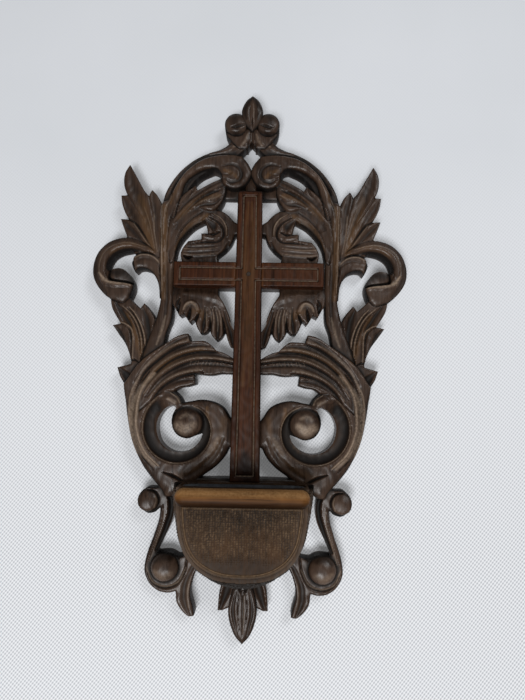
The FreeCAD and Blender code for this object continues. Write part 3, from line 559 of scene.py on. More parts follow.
# %% [markdown]
# ## The leaves within
# The hooked leaf turns back under the arch, and the big leaf falls from the centre to the side and becomes
# the volute's stem. Its feathers overlap like roof tiles: on the real leaf each is hollowed with a wide gouge
# and undercut a little beside the next. A copied feather would look machined, because their lengths and bends
# all differ. So each has its own path, and one loop cuts them all in the same way.

# %% Hooked leaf
HOOKED_LEAF = outline([(17, 57.2), (22.5, 54.2), (29.9, 49.7)], [(31.3, 52.4)], [(36, 48.8), (40, 44.8)],
                      [(44, 38), (46.5, 28), (45, 16)], [(42.6, 28), (36.5, 36), (30, 39.6), (24.6, 38.4)],
                      [(21.5, 38.3), (18, 40.6), (15.3, 45), (14.2, 50), (15, 54.4), (17, 57.2)])


def carve_hooked_leaf(wood):
    """The leaf that hooks back under the arch: two long gouges run along it to a rolled lower edge."""
    wood.lay(HOOKED_LEAF, [(16, 48, 10), (24, 46, 11), (36, 42, 10.8), (44, 30, 10.8)], 0.9, 1.6)
    wood.hollow([(17, 55.4, 0.6), (22.6, 52.4, 1.5), (29.6, 47.9, 1.8), (37, 41.6, 1.8), (44, 32, 0.8)], 1.1)
    wood.hollow([(17, 50.6, 0.6), (22, 48.4, 1.6), (28.4, 44.6, 1.7), (35, 38.8, 1.5), (42.6, 30, 0.8)], 1.2)
    wood.hollow([(17, 45, 0.7), (20.6, 42, 1.4), (26, 41.2, 1.6), (32, 39.6, 1.0)], 1.0)
    wood.knife([(31.2, 52, 0.5), (34.2, 47.2, 0.9), (40.4, 40, 0.6)], 0.9)
    wood.knife([(15.6, 53.2, 0.4), (20, 50.6, 0.7), (26.6, 46.8, 0.6), (33, 42, 0.4)], 0.7)
    wood.ridge([(16, 47.6, 0.4), (20, 45, 0.8), (26, 43, 0.6), (31, 40.6, 0.4)], 0.6)
    wood.knife([(18.4, 49.6, 0.6), (21.6, 48.8, 1.0), (24.8, 47, 0.5)], 0.8)
    wood.wax_and_highlight([(16.4, 47.6, 0.3), (20, 45.4, 0.7), (26, 43.6, 0.6), (31, 41, 0.3)], 0.45)
    wood.rub_and_light([(18, 47, 2), (24, 46, 3), (32, 42, 3), (40, 34, 3)], 0.7)


measure("hooked leaf", HOOKED_LEAF)

# %% Big leaf
BIG_LEAF = outline([(46, -38.8), (41, -35), (36.8, -32.8), (32.6, -31.9)], [(31.3, -36.3)],
                   [(27, -35.9), (23, -36), (19.6, -38.2)], [(17, -41)], [(12, -42.6), (6.2, -46)],
                   [(6.2, -52.8), (14, -53.4), (20, -54.4), (28.6, -53.8)], [(27.8, -59.3)],
                   [(32, -60.6), (36, -61.2), (39.4, -63.2)], [(46, -64), (53, -70), (60, -76)],
                   [(65, -68), (66.6, -60)], [(58, -48), (46, -38.8)])


def carve_big_leaf(wood):
    """The falling leaf: long feathers that overlap like roof tiles and gather into the volute's stem."""
    wood.lay(BIG_LEAF, [(8, -49, 10.6), (24, -45, 11.8), (42, -50, 12.4), (56, -62, 12), (61, -74, 11)], 0.6, 1.1)
    feathers = (
        [(33, -33.4, 0.7), (40, -36.8, 1.8), (48, -43.4, 2.2), (55.4, -51.6, 2.0), (60.8, -62, 1.5), (62.6, -76, 0.7)],
        [(20.6, -38.4, 0.7), (29, -38.4, 2.0), (39, -41.4, 2.5), (48, -47.8, 2.4), (55, -56, 2.0), (60, -70, 0.8)],
        [(9, -45, 0.8), (18, -43, 1.9), (29, -43.4, 2.2), (39.6, -47.4, 2.3), (48, -53.8, 2.0), (55, -62, 1.4),
         (58.6, -72, 0.6)],
        [(7.4, -50, 0.8), (17, -48.8, 1.9), (28, -48.8, 2.1), (38, -52, 2.1), (46, -57.6, 1.8), (53.4, -66.4, 0.8)],
        [(28.6, -57, 0.9), (35, -57.4, 2.1), (42, -60, 2.1), (48, -65, 1.4), (52.4, -71, 0.6)])
    for feather in feathers:
        wood.hollow(feather, 1.2)
    ridges = (
        [(31.6, -36.4, 0.6), (40, -39.4, 1.0), (48.6, -45.6, 1.0), (56.4, -54, 0.9), (61.4, -67, 0.5)],
        [(17, -41.2, 0.6), (28, -41.2, 0.9), (39, -44.6, 1.0), (48, -51, 0.9), (56.6, -61, 0.5)],
        [(7, -47.4, 0.6), (18, -46, 0.9), (29, -46.4, 0.9), (39, -50, 0.9), (48, -56.4, 0.7), (55, -66, 0.4)],
        [(24, -52.4, 0.6), (31, -53.4, 1.0), (39, -56, 1.0), (46, -60.6, 0.8), (52, -68, 0.4)])
    for ridge in ridges:
        low = [(px - 0.35, pz - 0.75, w * 1.15) for px, pz, w in ridge]
        high = [(px + 0.35, pz + 0.65, w * 0.8) for px, pz, w in ridge]
        wood.ridge([(px, pz, w * 1.5) for px, pz, w in high], 0.6)
        wood.knife(low, 1.5)
        wood.wax_and_highlight([(px + 0.2, pz + 0.3, w * 1.3) for px, pz, w in high], 0.4)
    wood.ridge([(56.4, -57, 0.4), (59.4, -64, 0.6), (61, -74, 0.3)], 0.6)
    for k in range(9):
        slip = 0.5 * math.sin(k * 2.4)
        wood.knife([(14 + k * 2.1 + slip, -46.9 + slip, 0.3), (15 + k * 2.1 + slip, -48.9 - slip, 0.2)], 0.3)
        wood.wax_and_highlight([(13.5 + k * 2.1 + slip, -46.9, 0.2), (14.4 + k * 2.1, -48.8, 0.35)], 0.4)
    wood.rub_and_light([(24, -40, 2), (36, -44, 4), (46, -50, 4), (54, -58, 3)], 0.7)
    wood.release()
    wood.soften([(53, -61, 2), (59.4, -69, 5), (60.4, -80, 4)], 2.0)
    inner = [(50, -53.6, 0.6), (56.4, -62, 1.1), (58.8, -72, 1.3), (58.4, -84, 1.3), (54, -95, 1.1), (46, -103, 0.7)]
    outer = [(58, -55, 0.5), (62, -64, 0.9), (63.2, -74, 0.9), (62, -86, 0.9), (58, -97, 0.7)]
    wood.ridge(inner, 0.9)
    wood.ridge(outer, 0.5)
    wood.knife([(53, -53, 0.5), (59, -63, 0.9), (61.2, -73, 1.0), (60.6, -85, 1.0), (56, -97, 0.9), (49, -105, 0.5)],
               1.1)
    wood.wax_and_highlight(inner, 0.8)
    wood.wax_and_highlight(outer, 0.6)
    # A broad painted highlight along the outer side of the stem.
    wood.wax_and_highlight([(50, -54, 1.2), (57, -62, 2.2), (61.4, -72, 3.0), (61, -84, 3.0), (56, -95, 2.4), (48, -103, 1.2)],
             0.55)


measure("big leaf", BIG_LEAF)

# %% [markdown]
# ## The arch, the stem and the finial's petals
# A thin rib and a thick band make the arch, and a stem ties all the leaves together. These are the quiet
# pieces between the leaves, with long strokes along their length. On the real plank nobody could say where
# the stem ends and a leaf begins. So after the motifs are laid, `soften` lets them flow into each other there.

# %% Arch band and rib
ARCH_BAND = outline([(5.3, 69.9), (12, 70.6), (20, 69.9), (27, 67.8), (33, 64), (38.6, 58.4), (43, 51),
                     (45.6, 44), (46.6, 36)], [(43, 34), (40, 44.8)],
                    [(37.6, 54), (32.6, 59.2), (26, 62.3), (19.6, 62.2), (16.6, 58.8)],
                    [(15.6, 54.2), (13, 51.8), (9, 50.9), (4.5, 52.4), (1.2, 56), (-0.25, 60.5), (1.6, 65.4),
                     (5.3, 69.9)])
ARCH_RIB = outline([(-0.3, 86), (6, 84), (11.8, 80.2)],
                   [(14.2, 77.2), (18, 74.9), (24, 72.6), (30, 69.8), (36, 65.6), (41.5, 60.3), (45.8, 54.2),
                    (48.6, 48), (50.1, 41.6)],
                   [(48, 30), (41, 38)], [(38, 46), (30, 58), (18, 64), (11, 67), (8, 71)], [(-0.3, 79.6)])


def carve_arch_band(wood):
    """The rounded band of the arch and the roll that it ends in, beside the centre."""
    wood.lay(ARCH_BAND, [(3, 62, 11.4), (12, 66, 12), (24, 64, 12.4), (38, 54, 12), (46, 40, 10.8)], 1.6, 3.6)
    wood.hollow([(16.4, 63.4, 0.8), (11, 64.6, 1.5), (6.8, 62.6, 1.8), (5.4, 58.8, 1.8), (7.2, 55.4, 1.7),
                 (11, 54.4, 1.6), (15, 56.4, 1.2)], 0.9)
    wood.hollow([(16.6, 59, 0.5), (13.2, 58.6, 0.9), (11, 59.8, 0.6)], 0.5)
    # Painted shade along the roll's lower edge, beside the opening.
    wood.blacken([(4.6, 60, 1), (7, 56, 1.6), (12, 53.6, 1.4)], 0.6)
    wood.rub_and_light([(8, 57, 1.5), (11, 59.4, 2.6), (15, 61, 1.5)], 0.9)
    wood.rub_and_light([(38, 56, 1), (42, 50, 2), (45, 42, 1.5)], 0.7)


def carve_arch_rib(wood):
    """The thin rib outside the band; it starts in the finial's neck."""
    wood.lay(ARCH_RIB, 8.6, 0.6, 1.0)
    wood.ridge([(3, 84, 1.0), (6.6, 79.8, 2.6), (10, 76, 3.0), (15.6, 73.4, 2.2), (24, 71.8, 1.2)], 1.5)
    wood.knife([(12, 71.2, 0.7), (20, 70.6, 0.8), (27, 68.4, 0.8), (33, 64.6, 0.8), (38.6, 59.2, 0.8),
                (43.8, 51.5, 0.8), (46.4, 44, 0.6)], 1.2)
    wood.ridge([(22, 73, 0.6), (29, 70.4, 0.8), (36, 65.4, 0.9), (42, 58.6, 0.9), (47, 48.4, 0.5)], 0.5)
    wood.wax_and_highlight([(4.4, 82.6, 0.8), (7, 79.4, 1.8), (10.4, 76, 1.0)], 0.35)


measure("arch band", ARCH_BAND)
measure("arch rib", ARCH_RIB)

# %% Stem
STEM = outline([(42.2, 12), (43.6, 30), (44.4, 44)],
               [(50, 41), (50.5, 24), (50, 8), (49, -4), (48.9, -14), (51.3, -25.6)],
               [(58, -48), (46, -46), (46, -38)],
               [(44.8, -31), (42.6, -24.6), (42.2, -19), (42.4, -8), (42.2, 12)])


def carve_stem(wood):
    """A round stem with a gouge along it, which the leaves spring from."""
    wood.lay(STEM, [(45, 44, 11), (46, 20, 11), (45.4, -8, 10.4), (48, -30, 10), (52, -48, 10)], 1.2, 2.6)
    wood.gouge([(46, 40, 0.7), (46.2, 22, 1.7), (45.8, 4, 1.6), (45.2, -14, 1.4), (46.6, -30, 0.8)], 1.0)
    wood.knife([(44.6, 34, 0.4), (44.4, 24, 0.6), (43.6, 12, 0.4)], 0.7)
    wood.knife([(49.2, 38, 0.4), (49.2, 24, 0.8), (48.4, 8, 0.7), (47.6, -10, 0.4)], 0.9)
    wood.ridge([(50, 42, 0.4), (50.2, 34, 0.7), (50.4, 24, 0.7), (50, 10, 0.4)], 0.5)
    wood.wax_and_highlight([(45.6, -22, 0.8), (47.4, -30, 1.4), (50, -38, 0.8)], 0.4)
    wood.rub_and_light([(48, 40, 2), (48, 24, 4), (47.6, 8, 3), (47, -12, 2)], 0.9)


def join_the_stem(wood):
    """The leaves' roots run into the stem, with fine lines along it."""
    wood.release()
    wood.soften([(45, 47, 2), (46, 40, 4.5), (45.6, 30, 5), (44.4, 18, 4), (43.6, 12, 2)], 1.8)
    wood.soften([(50, 40, 1), (51, 28, 3), (52, 16, 4), (50, 8, 2)], 1.4)
    wood.knife([(38, 47, 0.3), (43, 39, 0.6), (45.6, 28, 0.6), (46.2, 14, 0.4)], 0.6)
    wood.knife([(44, 47, 0.3), (47.2, 38, 0.7), (47.8, 24, 0.6), (47.4, 8, 0.4)], 0.6)
    wood.wax_and_highlight([(44.6, 46, 0.3), (47.6, 38, 0.5), (48.2, 24, 0.4)], 0.35)
    wood.knife([(50.4, 43, 0.4), (49.8, 34, 0.7), (49.6, 22, 0.7), (50.4, 10, 0.4)], 0.8)
    wood.wax_and_highlight([(50, 42, 0.3), (49.4, 32, 0.55), (49.3, 22, 0.55), (48.6, 6, 0.5), (48.2, -8, 0.3)], 0.6)


measure("stem", STEM)

# %% Petal and side leaf
PETAL = outline([(2, 76), (3.2, 86), (4.2, 91.5), (6.2, 95.2), (9.6, 96.4), (13.2, 94.8), (15.5, 91.2),
                 (15.5, 87), (14.4, 83), (11.8, 80.2)], [(8, 76), (2, 76)])
SIDE_LEAF = outline([(3, -158), (9, -158)], [(12.2, -167), (13.2, -177.6)], [(9.6, -177), (5, -173), (3, -158)])


def carve_petal(wood):
    """A petal of the finial, with the round bud that sits on it."""
    wood.lay(PETAL, 8.8, 0.9, 1.6)
    wood.dome(9.2, 89.9, 6.7, 8.4, 11.4, (0, -0.06))
    wood.knife([(4.0, 89.2, 0.4), (6.6, 88.3, 1.1), (9.6, 87.3, 1.2), (12, 87.2, 0.5)], 1.5)
    wood.blacken([(8, 80, 3), (10, 92, 6), (9, 97, 3)], 0.7)
    wood.hollow([(5, 85, 0.8), (9, 83.4, 1.6), (12.6, 84.6, 0.8)], 0.9)


def carve_side_leaf(wood):
    """A plain leaf beside the pendant, with one gouge."""
    wood.lay(SIDE_LEAF, 7.5, 0.7, 1.4)
    wood.gouge([(6.5, -160, 1.2), (8.5, -167, 2.4), (11.5, -176, 1.0)], 1.6)


measure("petal", PETAL)
measure("side leaf of the pendant", SIDE_LEAF)

# %% The half, from the lowest motif to the highest
def carve_half(wood):
    """Each motif covers what it grows over, so their order is the order in which they are carved."""
    for carve in (carve_side_leaf, carve_arch_rib, carve_upper_leaf, carve_middle_leaf, carve_hanging_leaf,
                  carve_lower_scroll, carve_volute, carve_side_scroll, carve_curl, carve_stem,
                  carve_small_scroll, carve_hooked_leaf, carve_big_leaf, carve_arch_band, join_the_stem,
                  carve_petal):
        carve(wood)


SOLIDS = [ARCH_RIB, ARCH_BAND, PETAL, HOOKED_LEAF, SMALL_SCROLL, STEM, UPPER_LEAF, SIDE_SCROLL, CURL, MIDDLE_LEAF,
          HANGING_LEAF, BIG_LEAF, VOLUTE, LOWER_SCROLL, SIDE_LEAF]
print(len(SOLIDS), "motifs in a half")

# %% [markdown]
# ## From heights to a mesh
# The heights could displace a square grid, but a square grid would leave stairs along every sawn curve. So
# each grid point that lies within half a step of the outline moves onto it, before the cells are kept or
# dropped. A cell with all four corners in the wood becomes two triangles and a cell with three becomes one,
# which leaves a clean edge.

# %% Points that sit on the outline
# How near the edge a point is moved, and how near the slope is worked out, in steps of the grid.
MOVED_WITHIN, SLOPED_WITHIN = 0.5, 1.6
SLOPE_STEP, LEAST_SLOPE = 0.02, 0.3


def wood_edge(solids, holes):
    """Gives a function that says how far points lie outside the wood, negative inside it."""
    def outside(x, z):
        d = np.min([signed_distance(solid, x, z, 3.0) for solid in solids], axis=0)
        for hole in holes:
            d = np.maximum(d, -signed_distance(hole, x, z, 3.0))
        return d
    return outside


def snap(x, z, outside, pitch):
    """Moves points near the edge onto it, in place, and gives each point's distance from the edge."""
    d = outside(x, z)
    near = np.abs(d) < pitch * SLOPED_WITHIN
    u, v, dn = x[near], z[near], d[near]
    slope_x = (outside(u + SLOPE_STEP, v) - outside(u - SLOPE_STEP, v)) / (2 * SLOPE_STEP)
    slope_z = (outside(u, v + SLOPE_STEP) - outside(u, v - SLOPE_STEP)) / (2 * SLOPE_STEP)
    steep = np.maximum(np.hypot(slope_x, slope_z), LEAST_SLOPE)
    moved = np.abs(dn) < pitch * MOVED_WITHIN
    x[near] -= np.where(moved, dn * slope_x / steep ** 2, 0)
    z[near] -= np.where(moved, dn * slope_z / steep ** 2, 0)
    d[near] = np.where(moved, 0, dn)
    return d


test_x, test_z = np.array([0.9]), np.array([0.0])
snap(test_x, test_z, lambda x, z: x - 1, 0.4)
print("a point at 0.9 goes to the edge at", test_x[0])

# %% Triangles of the kept cells
def kept_triangles(keep):
    """Two triangles for a cell with four corners in the wood, and one for a cell with three."""
    def corners(grid):
        return grid[:-1, :-1], grid[1:, :-1], grid[1:, 1:], grid[:-1, 1:]

    numbers, kept = corners(np.arange(keep.size).reshape(keep.shape)), corners(keep)
    count = np.sum(kept, axis=0)
    a, b, c, d = [corner[count == 4] for corner in numbers]
    tris = [np.column_stack([a, b, c]), np.column_stack([a, c, d])]
    for missing in range(4):
        three = (count == 3) & ~kept[missing]
        tris.append(np.column_stack([numbers[k][three] for k in range(4) if k != missing]))
    return np.vstack(tris)


print("one whole cell gives", len(kept_triangles(np.ones((2, 2), bool))), "triangles")

# %% The relief on its grid
UNEVENNESS = 0.09
# A point's form is how proud it stands of the wood within these radii, with their shares.
FORM_RADII = ((1.6, 0.75), (5.0, 0.4))


def relief_mesh(carve, solids, holes, window, pitch):
    """Carves a grid inside a window, and gives its points, heights, triangles and marks."""
    x0, x1, z0, z1 = window
    gx, gz = np.meshgrid(np.arange(x0, x1, pitch), np.arange(z0, z1, pitch), indexing="ij")
    x, z = gx.ravel(), gz.ravel()
    d = snap(x, z, wood_edge(solids, holes), pitch)
    used, tris = np.unique(kept_triangles((d <= NO_DISTANCE).reshape(gx.shape)), return_inverse=True)
    x, z = x[used], z[used]
    wood = Relief(x, z, used, gx.shape, pitch)
    carve(wood)
    wood.h += UNEVENNESS * np.sin(x * 0.9 + 1.3 * np.sin(z * 0.37)) * np.sin(z * 0.71 + np.cos(x * 0.53) * 1.7)
    proud = sum(share * (wood.h - local_mean(wood.h, *wood.grid, radius)) for radius, share in FORM_RADII)
    marks = {"form": np.clip(proud, -1.5, 1.5), "dust": wood.dust, "warm": wood.warm, "grime": wood.grime}
    return x, z, wood.h, tris.reshape(-1, 3), marks


HALF_WINDOW, HALF_PITCH = (-0.6, 88.2, -181.6, 97.6), 0.4
half = relief_mesh(carve_half, SOLIDS, [CRESCENT], HALF_WINDOW, HALF_PITCH)
print("the half has", len(half[0]), "points and rises to", round(half[2].max(), 1), "mm")

# %% [markdown]
# ## Walls and a back
# The front is open like a mask. The plank's sawn edge is a wall that goes from the front's rim to the back,
# and the back is flat. A Solidify modifier would give a skin of even thickness, which is not how a plank is
# made. So the walls are drawn from the rim, and the back is filled by a triangulation that keeps the rim's
# points and leaves the openings free.

# %% The rim
def rim_edges(tris, count):
    """The edges that belong to one triangle only, in the direction that it runs."""
    sides = np.vstack([tris[:, [0, 1]], tris[:, [1, 2]], tris[:, [2, 0]]])
    key = np.sort(sides, axis=1)
    _, first, times = np.unique(key[:, 0] * count + key[:, 1], return_index=True, return_counts=True)
    return sides[first[times == 1]]


half_rim = rim_edges(half[3], len(half[0]))
print("the half's rim has", len(half_rim), "edges")

# %% The back
def fill_back(bm, ring, edges, flip):
    """Fills the flat back between the rim's vertices; edges are pairs of their numbers in the ring."""
    turn = -1 if flip else 1
    points = [Vector((vert.co.x * turn, vert.co.z)) for vert in ring]
    made = delaunay_2d_cdt(points, edges.tolist(), [], 0, NO_DISTANCE)
    flat = np.array([tuple(point) for point in points])
    match = [was[0] if was else int(np.argmin(np.hypot(*(flat - (v.x, v.y)).T)))
             for v, was in zip(made[0], made[3])]
    start, end = flat[edges[:, 0]].T, flat[edges[:, 1]].T
    for corners in made[2]:
        middle = flat[[match[k] for k in corners]].mean(0)
        straddles = (start[1] > middle[1]) != (end[1] > middle[1])
        rise = np.where(straddles, end[1] - start[1], 1)
        crossing = start[0] + (end[0] - start[0]) * (middle[1] - start[1]) / rise
        verts = [ring[match[k]] for k in corners]
        if np.sum(straddles & (middle[0] < crossing)) % 2 and len(set(verts)) == len(verts):
            bm.faces.new(verts if flip else verts[::-1])


bm = bmesh.new()
square = [bm.verts.new((x, 0, z)) for x, z in ((0, 0), (1, 0), (1, 1), (0, 1))]
fill_back(bm, square, np.array([(0, 1), (1, 2), (2, 3), (3, 0)]), False)
print("a square back takes", len(bm.faces), "triangles")
bm.free()

# %% The closed solid
SHARP_EDGE = math.radians(48)


def closed_solid(name, x, z, h, tris, marks, rings=((0.0, 1.0),), hub=0.0, flip=False):
    """The carved front, walls behind its rim through rings of (height, scale), and a back.
    A ring is scaled in width about the middle, and half as much in height about the hub."""
    rim = rim_edges(tris, len(x))
    rim_points = np.unique(rim)
    verts, walls = [np.column_stack([x, -h, z])], []
    level = np.arange(len(x))
    for height, scale in rings:
        below = np.full(len(x), -1)
        below[rim_points] = sum(map(len, verts)) + np.arange(len(rim_points))
        rx, rz = x[rim_points] * scale, hub + (z[rim_points] - hub) * (0.5 + 0.5 * scale)
        verts.append(np.column_stack([rx, np.full(len(rx), -height), rz]))
        walls.append(np.column_stack([level[rim[:, 1]], level[rim[:, 0]], below[rim[:, 0]], below[rim[:, 1]]]))
        level = below
    verts, walls = np.vstack(verts) * MM, np.vstack(walls)
    if flip:
        verts[:, 0] *= -1
        tris, walls = tris[:, ::-1], walls[:, ::-1]
    mesh = bpy.data.meshes.new(name)
    mesh.from_pydata(verts.tolist(), [], tris.tolist() + walls.tolist())
    bm = bmesh.new()
    bm.from_mesh(mesh)
    bm.verts.ensure_lookup_table()
    number = np.full(len(x), -1)
    number[rim_points] = np.arange(len(rim_points))
    fill_back(bm, [bm.verts[k] for k in level[rim_points]], number[rim], flip)
    for face in bm.faces:
        face.smooth = True
    print(name, "has", len(bm.faces), "faces and", sum(edge.is_boundary for edge in bm.edges), "open edges")
    bm.to_mesh(mesh)
    bm.free()
    for mark, values in marks.items():
        padded = np.zeros(len(mesh.vertices))
        padded[:len(x)] = values
        mesh.attributes.new(mark, "FLOAT", "POINT").data.foreach_set("value", padded)
    mesh.set_sharp_from_angle(angle=SHARP_EDGE)
    return mesh


half_solids = [closed_solid("carving_right", *half), closed_solid("carving_left", *half, flip=True)]

# %% [markdown]
# ## Finishes
# The wood is old walnut under wax: grey brown where hands and cloths have rubbed the ridges, golden where they rubbed
# most, and with pale old wax caught beside the knife lines. Light and shade are painted on it too: painted shade makes
# the cuts and hollows nearly black, the ridges are lighter as rubbed wood and as painted highlight, and some pale,
# golden and dark patches are painted highlights, painted light and painted shade. An image could be painted on it, but
# it would have to be unwrapped, and every change of shape would undo it. So the finish reads four numbers from the
# points: form, which is positive on ridges and negative in hollows, and the three marks that the strokes left, for
# pale wax and painted highlights, for golden rubbed wood and painted light, and for dark patches and painted shade.
# The liner, the pin and the screws are dull old metal, which tarnishes in patches. Node maths is written as plain
# expressions.

# %% Node expressions
class Wire:
    """A socket that can be used in sums; every sum adds its Math node to the socket's tree."""
    def __init__(self, owner, socket):
        self.owner, self.socket = owner, socket

    def sum(self, operation, *values):
        return self.owner.node("ShaderNodeMath", {"operation": operation}, dict(enumerate(values)))

    def __add__(self, other):
        return self.sum("ADD", self, other)

    def __sub__(self, other):
        return self.sum("SUBTRACT", self, other)

    def __rsub__(self, other):
        return self.sum("SUBTRACT", other, self)

    def __mul__(self, other):
        return self.sum("MULTIPLY", self, other)

    def __truediv__(self, other):
        return self.sum("DIVIDE", self, other)

    def __rtruediv__(self, other):
        return self.sum("DIVIDE", other, self)

    __radd__, __rmul__ = __add__, __mul__

    def clipped(self):
        return self.owner.node("ShaderNodeClamp", {}, {"Value": self})


class Tree:
    """A node tree, and the one method that makes every node in it."""
    def __init__(self, tree):
        self.tree = tree

    def node(self, kind, settings, inputs, output=0):
        made = self.tree.nodes.new(kind)
        for key, value in settings.items():
            setattr(made, key, value)
        for key, value in inputs.items():
            if isinstance(value, Wire):
                self.tree.links.new(value.socket, made.inputs[key])
            else:
                made.inputs[key].default_value = value
        return Wire(self, made.outputs[output])


print("a wire can be added, subtracted, multiplied, divided and clipped")

# %% Paint
# The numbers of the outputs Object of Texture Coordinate, Result of a colour Mix, and Factor of Attribute.
OBJECT, MIXED, FACTOR = 3, 2, 2


class Paint(Tree):
    """A material with a Principled shader, whose constants are set on the shader itself."""
    def __init__(self, name, **constants):
        self.material = bpy.data.materials.new(name)
        self.material.use_nodes = True
        super().__init__(self.material.node_tree)
        self.shader = self.tree.nodes["Principled BSDF"]
        for key, value in constants.items():
            self.shader.inputs[key.replace("_", " ")].default_value = value

    def mix(self, share, first, second):
        first, second = [c if isinstance(c, Wire) else (*c, 1) for c in (first, second)]
        return self.node("ShaderNodeMix", {"data_type": "RGBA"}, {0: share, 6: first, 7: second}, MIXED)

    def noise(self, scale, stretch=(1, 1, 1), detail=3.0, distortion=0.0):
        place = self.node("ShaderNodeTexCoord", {}, {}, OBJECT)
        place = self.node("ShaderNodeMapping", {}, {"Vector": place, "Scale": stretch})
        return self.node("ShaderNodeTexNoise", {}, {"Vector": place, "Scale": scale, "Detail": detail,
                                                    "Distortion": distortion})

    def set(self, socket, wire):
        self.tree.links.new(wire.socket, self.shader.inputs[socket])

    def bump(self, height, distance, strength):
        self.set("Normal", self.node("ShaderNodeBump", {}, {"Height": height, "Distance": distance,
                                                            "Strength": strength}))


print("a paint can:", ", ".join(name for name in vars(Paint) if not name.startswith("_")))

# %% Walnut and its four finishes
# How many pores, bands, specks and blotches go into a metre.
PORES, BANDS, SPECKS, BLOTCHES = 1300, 260, 900, 45
UPRIGHT_GRAIN, LEVEL_GRAIN = (1, 1, 0.05), (0.05, 1, 1)


# The pale colour is for old wax and painted highlights; the golden one is for rubbed wood and painted light.
def walnut(name, dark, middle, rubbed, roughness, gloss, grain_axis=UPRIGHT_GRAIN,
           golden=(0.100, 0.050, 0.018), wax_and_highlight=(0.27, 0.20, 0.145)):
    paint = Paint(name, Specular_IOR_Level=gloss)
    grain = paint.noise(PORES, grain_axis, 5, 0.5)
    band = paint.noise(BANDS, grain_axis, 3, 0.8)
    blotch = paint.noise(BLOTCHES, (1, 1, 0.5), 5)
    speck = paint.noise(SPECKS, (1, 1, 1), 2)
    form, dust, warm, grime = [paint.node("ShaderNodeAttribute", {"attribute_name": mark}, {}, FACTOR)
                               for mark in ("form", "dust", "warm", "grime")]
    ridge, hollow = (form * 0.8).clipped(), (form * -1.6).clipped()
    streak = (grain * 2.2 + band * 1.6 - 1.4).clipped()
    color = paint.mix(streak, dark, middle)
    color = paint.mix((blotch * 3.0 - 1.3).clipped() * 0.5, color, rubbed)
    color = paint.mix((warm * (blotch * 2.0 + streak * 0.6 - 0.5)).clipped() * 0.8, color, golden)
    # Ridges are lightened, as rubbed wood and as painted highlight; hollows are painted shade, darkened nearly to
    # black.
    color = paint.mix(ridge * (0.35 + streak * 0.5), color, rubbed)
    color = paint.mix(hollow * 0.93, color, tuple(c * 0.22 for c in dark))
    # Dark patches: some dirt, and painted shade in roots, recesses, the bowl's mouth and undersides.
    color = paint.mix((grime * (0.6 + blotch * 0.8)).clipped() * 0.92, color, tuple(c * 0.35 for c in dark))
    # Pale patches: old wax in the cuts, and painted highlights on the finger, the balls, the arched ridge, the stem
    # and the moulding.
    color = paint.mix((dust * (speck * 1.8 + blotch * 1.6 - 0.85)).clipped(), color, wax_and_highlight)
    paint.set("Base Color", color)
    paint.set("Roughness", (roughness + streak * 0.14 - ridge * 0.1 + hollow * 0.3 + dust * 0.3).clipped())
    paint.bump(grain * 0.6 + band * 0.4, 0.00022, 0.45)
    return paint.material


WALNUT = walnut("waxed_walnut", (0.010, 0.0050, 0.0030), (0.036, 0.0185, 0.0105), (0.098, 0.062, 0.044),
                0.30, 0.28)
CROSS_WALNUT = walnut("cross_walnut", (0.009, 0.0026, 0.0010), (0.050, 0.0140, 0.0042), (0.074, 0.029, 0.011),
                      0.38, 0.13)
BOWL_WALNUT = walnut("punched_walnut", (0.009, 0.0045, 0.0020), (0.032, 0.0160, 0.0080), (0.080, 0.047, 0.026),
                     0.48, 0.12, golden=(0.074, 0.034, 0.013), wax_and_highlight=(0.22, 0.145, 0.085))
RUBBED_WALNUT = walnut("rubbed_walnut", (0.016, 0.0060, 0.0018), (0.048, 0.019, 0.0058), (0.12, 0.058, 0.019),
                       0.40, 0.08, LEVEL_GRAIN, golden=(0.200, 0.084, 0.023), wax_and_highlight=(0.30, 0.17, 0.07))
print("each walnut has", len(WALNUT.node_tree.nodes), "nodes")

# %% Dull metals
CLOUDS, SCRATCHES = 75, 900


def dull_metal(name, tarnished, bare, roughness, metallic):
    """Old metal: tarnished in patches, with fine upright scratches and a slightly uneven skin."""
    paint = Paint(name, Metallic=metallic)
    cloud = paint.noise(CLOUDS, (1, 1, 0.7), 4, 0.8)
    scratch = paint.noise(SCRATCHES, (1, 1, 0.06), 3)
    rubbed = (cloud * 3.0 + scratch * 0.6 - 1.4).clipped()
    paint.set("Base Color", paint.mix(rubbed, tarnished, bare))
    paint.set("Roughness", (scratch * 0.2 - rubbed * 0.15 + roughness).clipped())
    paint.bump(scratch * 0.4 + cloud, 0.00025, 0.35)
    return paint.material


IRON = dull_metal("dull_iron", (0.026, 0.015, 0.010), (0.072, 0.053, 0.042), 0.60, 0.4)
ZINC = dull_metal("grey_zinc", (0.034, 0.038, 0.045), (0.090, 0.098, 0.110), 0.52, 0.6)
print("metals:", IRON.name, "and", ZINC.name)

# %% [markdown]
# ## Putting pieces into the scene
# Each finished piece rides a body of the CAD model and says which CAD node it replaces. Parenting by hand would do the
# same at rest, but not when a joint moves. The liner, the pin and the screws have the right shape in the CAD model
# already, so they stay and only get their metal.

# %% Placing
def bring_in(name, data):
    """A new object at the origin, unturned, in the scene."""
    item = bpy.data.objects.new(name, data)
    bpy.context.collection.objects.link(item)
    return item


def place(mesh, finish, slot, node):
    """Puts a finished mesh into the scene for a CAD node, with the finish that it is given; the slot is not used."""
    piece = bring_in(mesh.name, mesh)
    mesh.materials.clear()
    mesh.materials.append(finish)
    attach(piece, "stoup")
    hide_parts(node)
    print(piece.name, "replaces", node)


for solid in half_solids:
    place(solid, WALNUT, "walnut", "back_board")

# %% Metal pieces keep their CAD shape
for node, finish in (("water_liner", ZINC), ("crossing_pin", IRON), ("bowl_screws", IRON)):
    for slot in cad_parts[node].material_slots:
        slot.material = finish
    print(node, "is", finish.name)

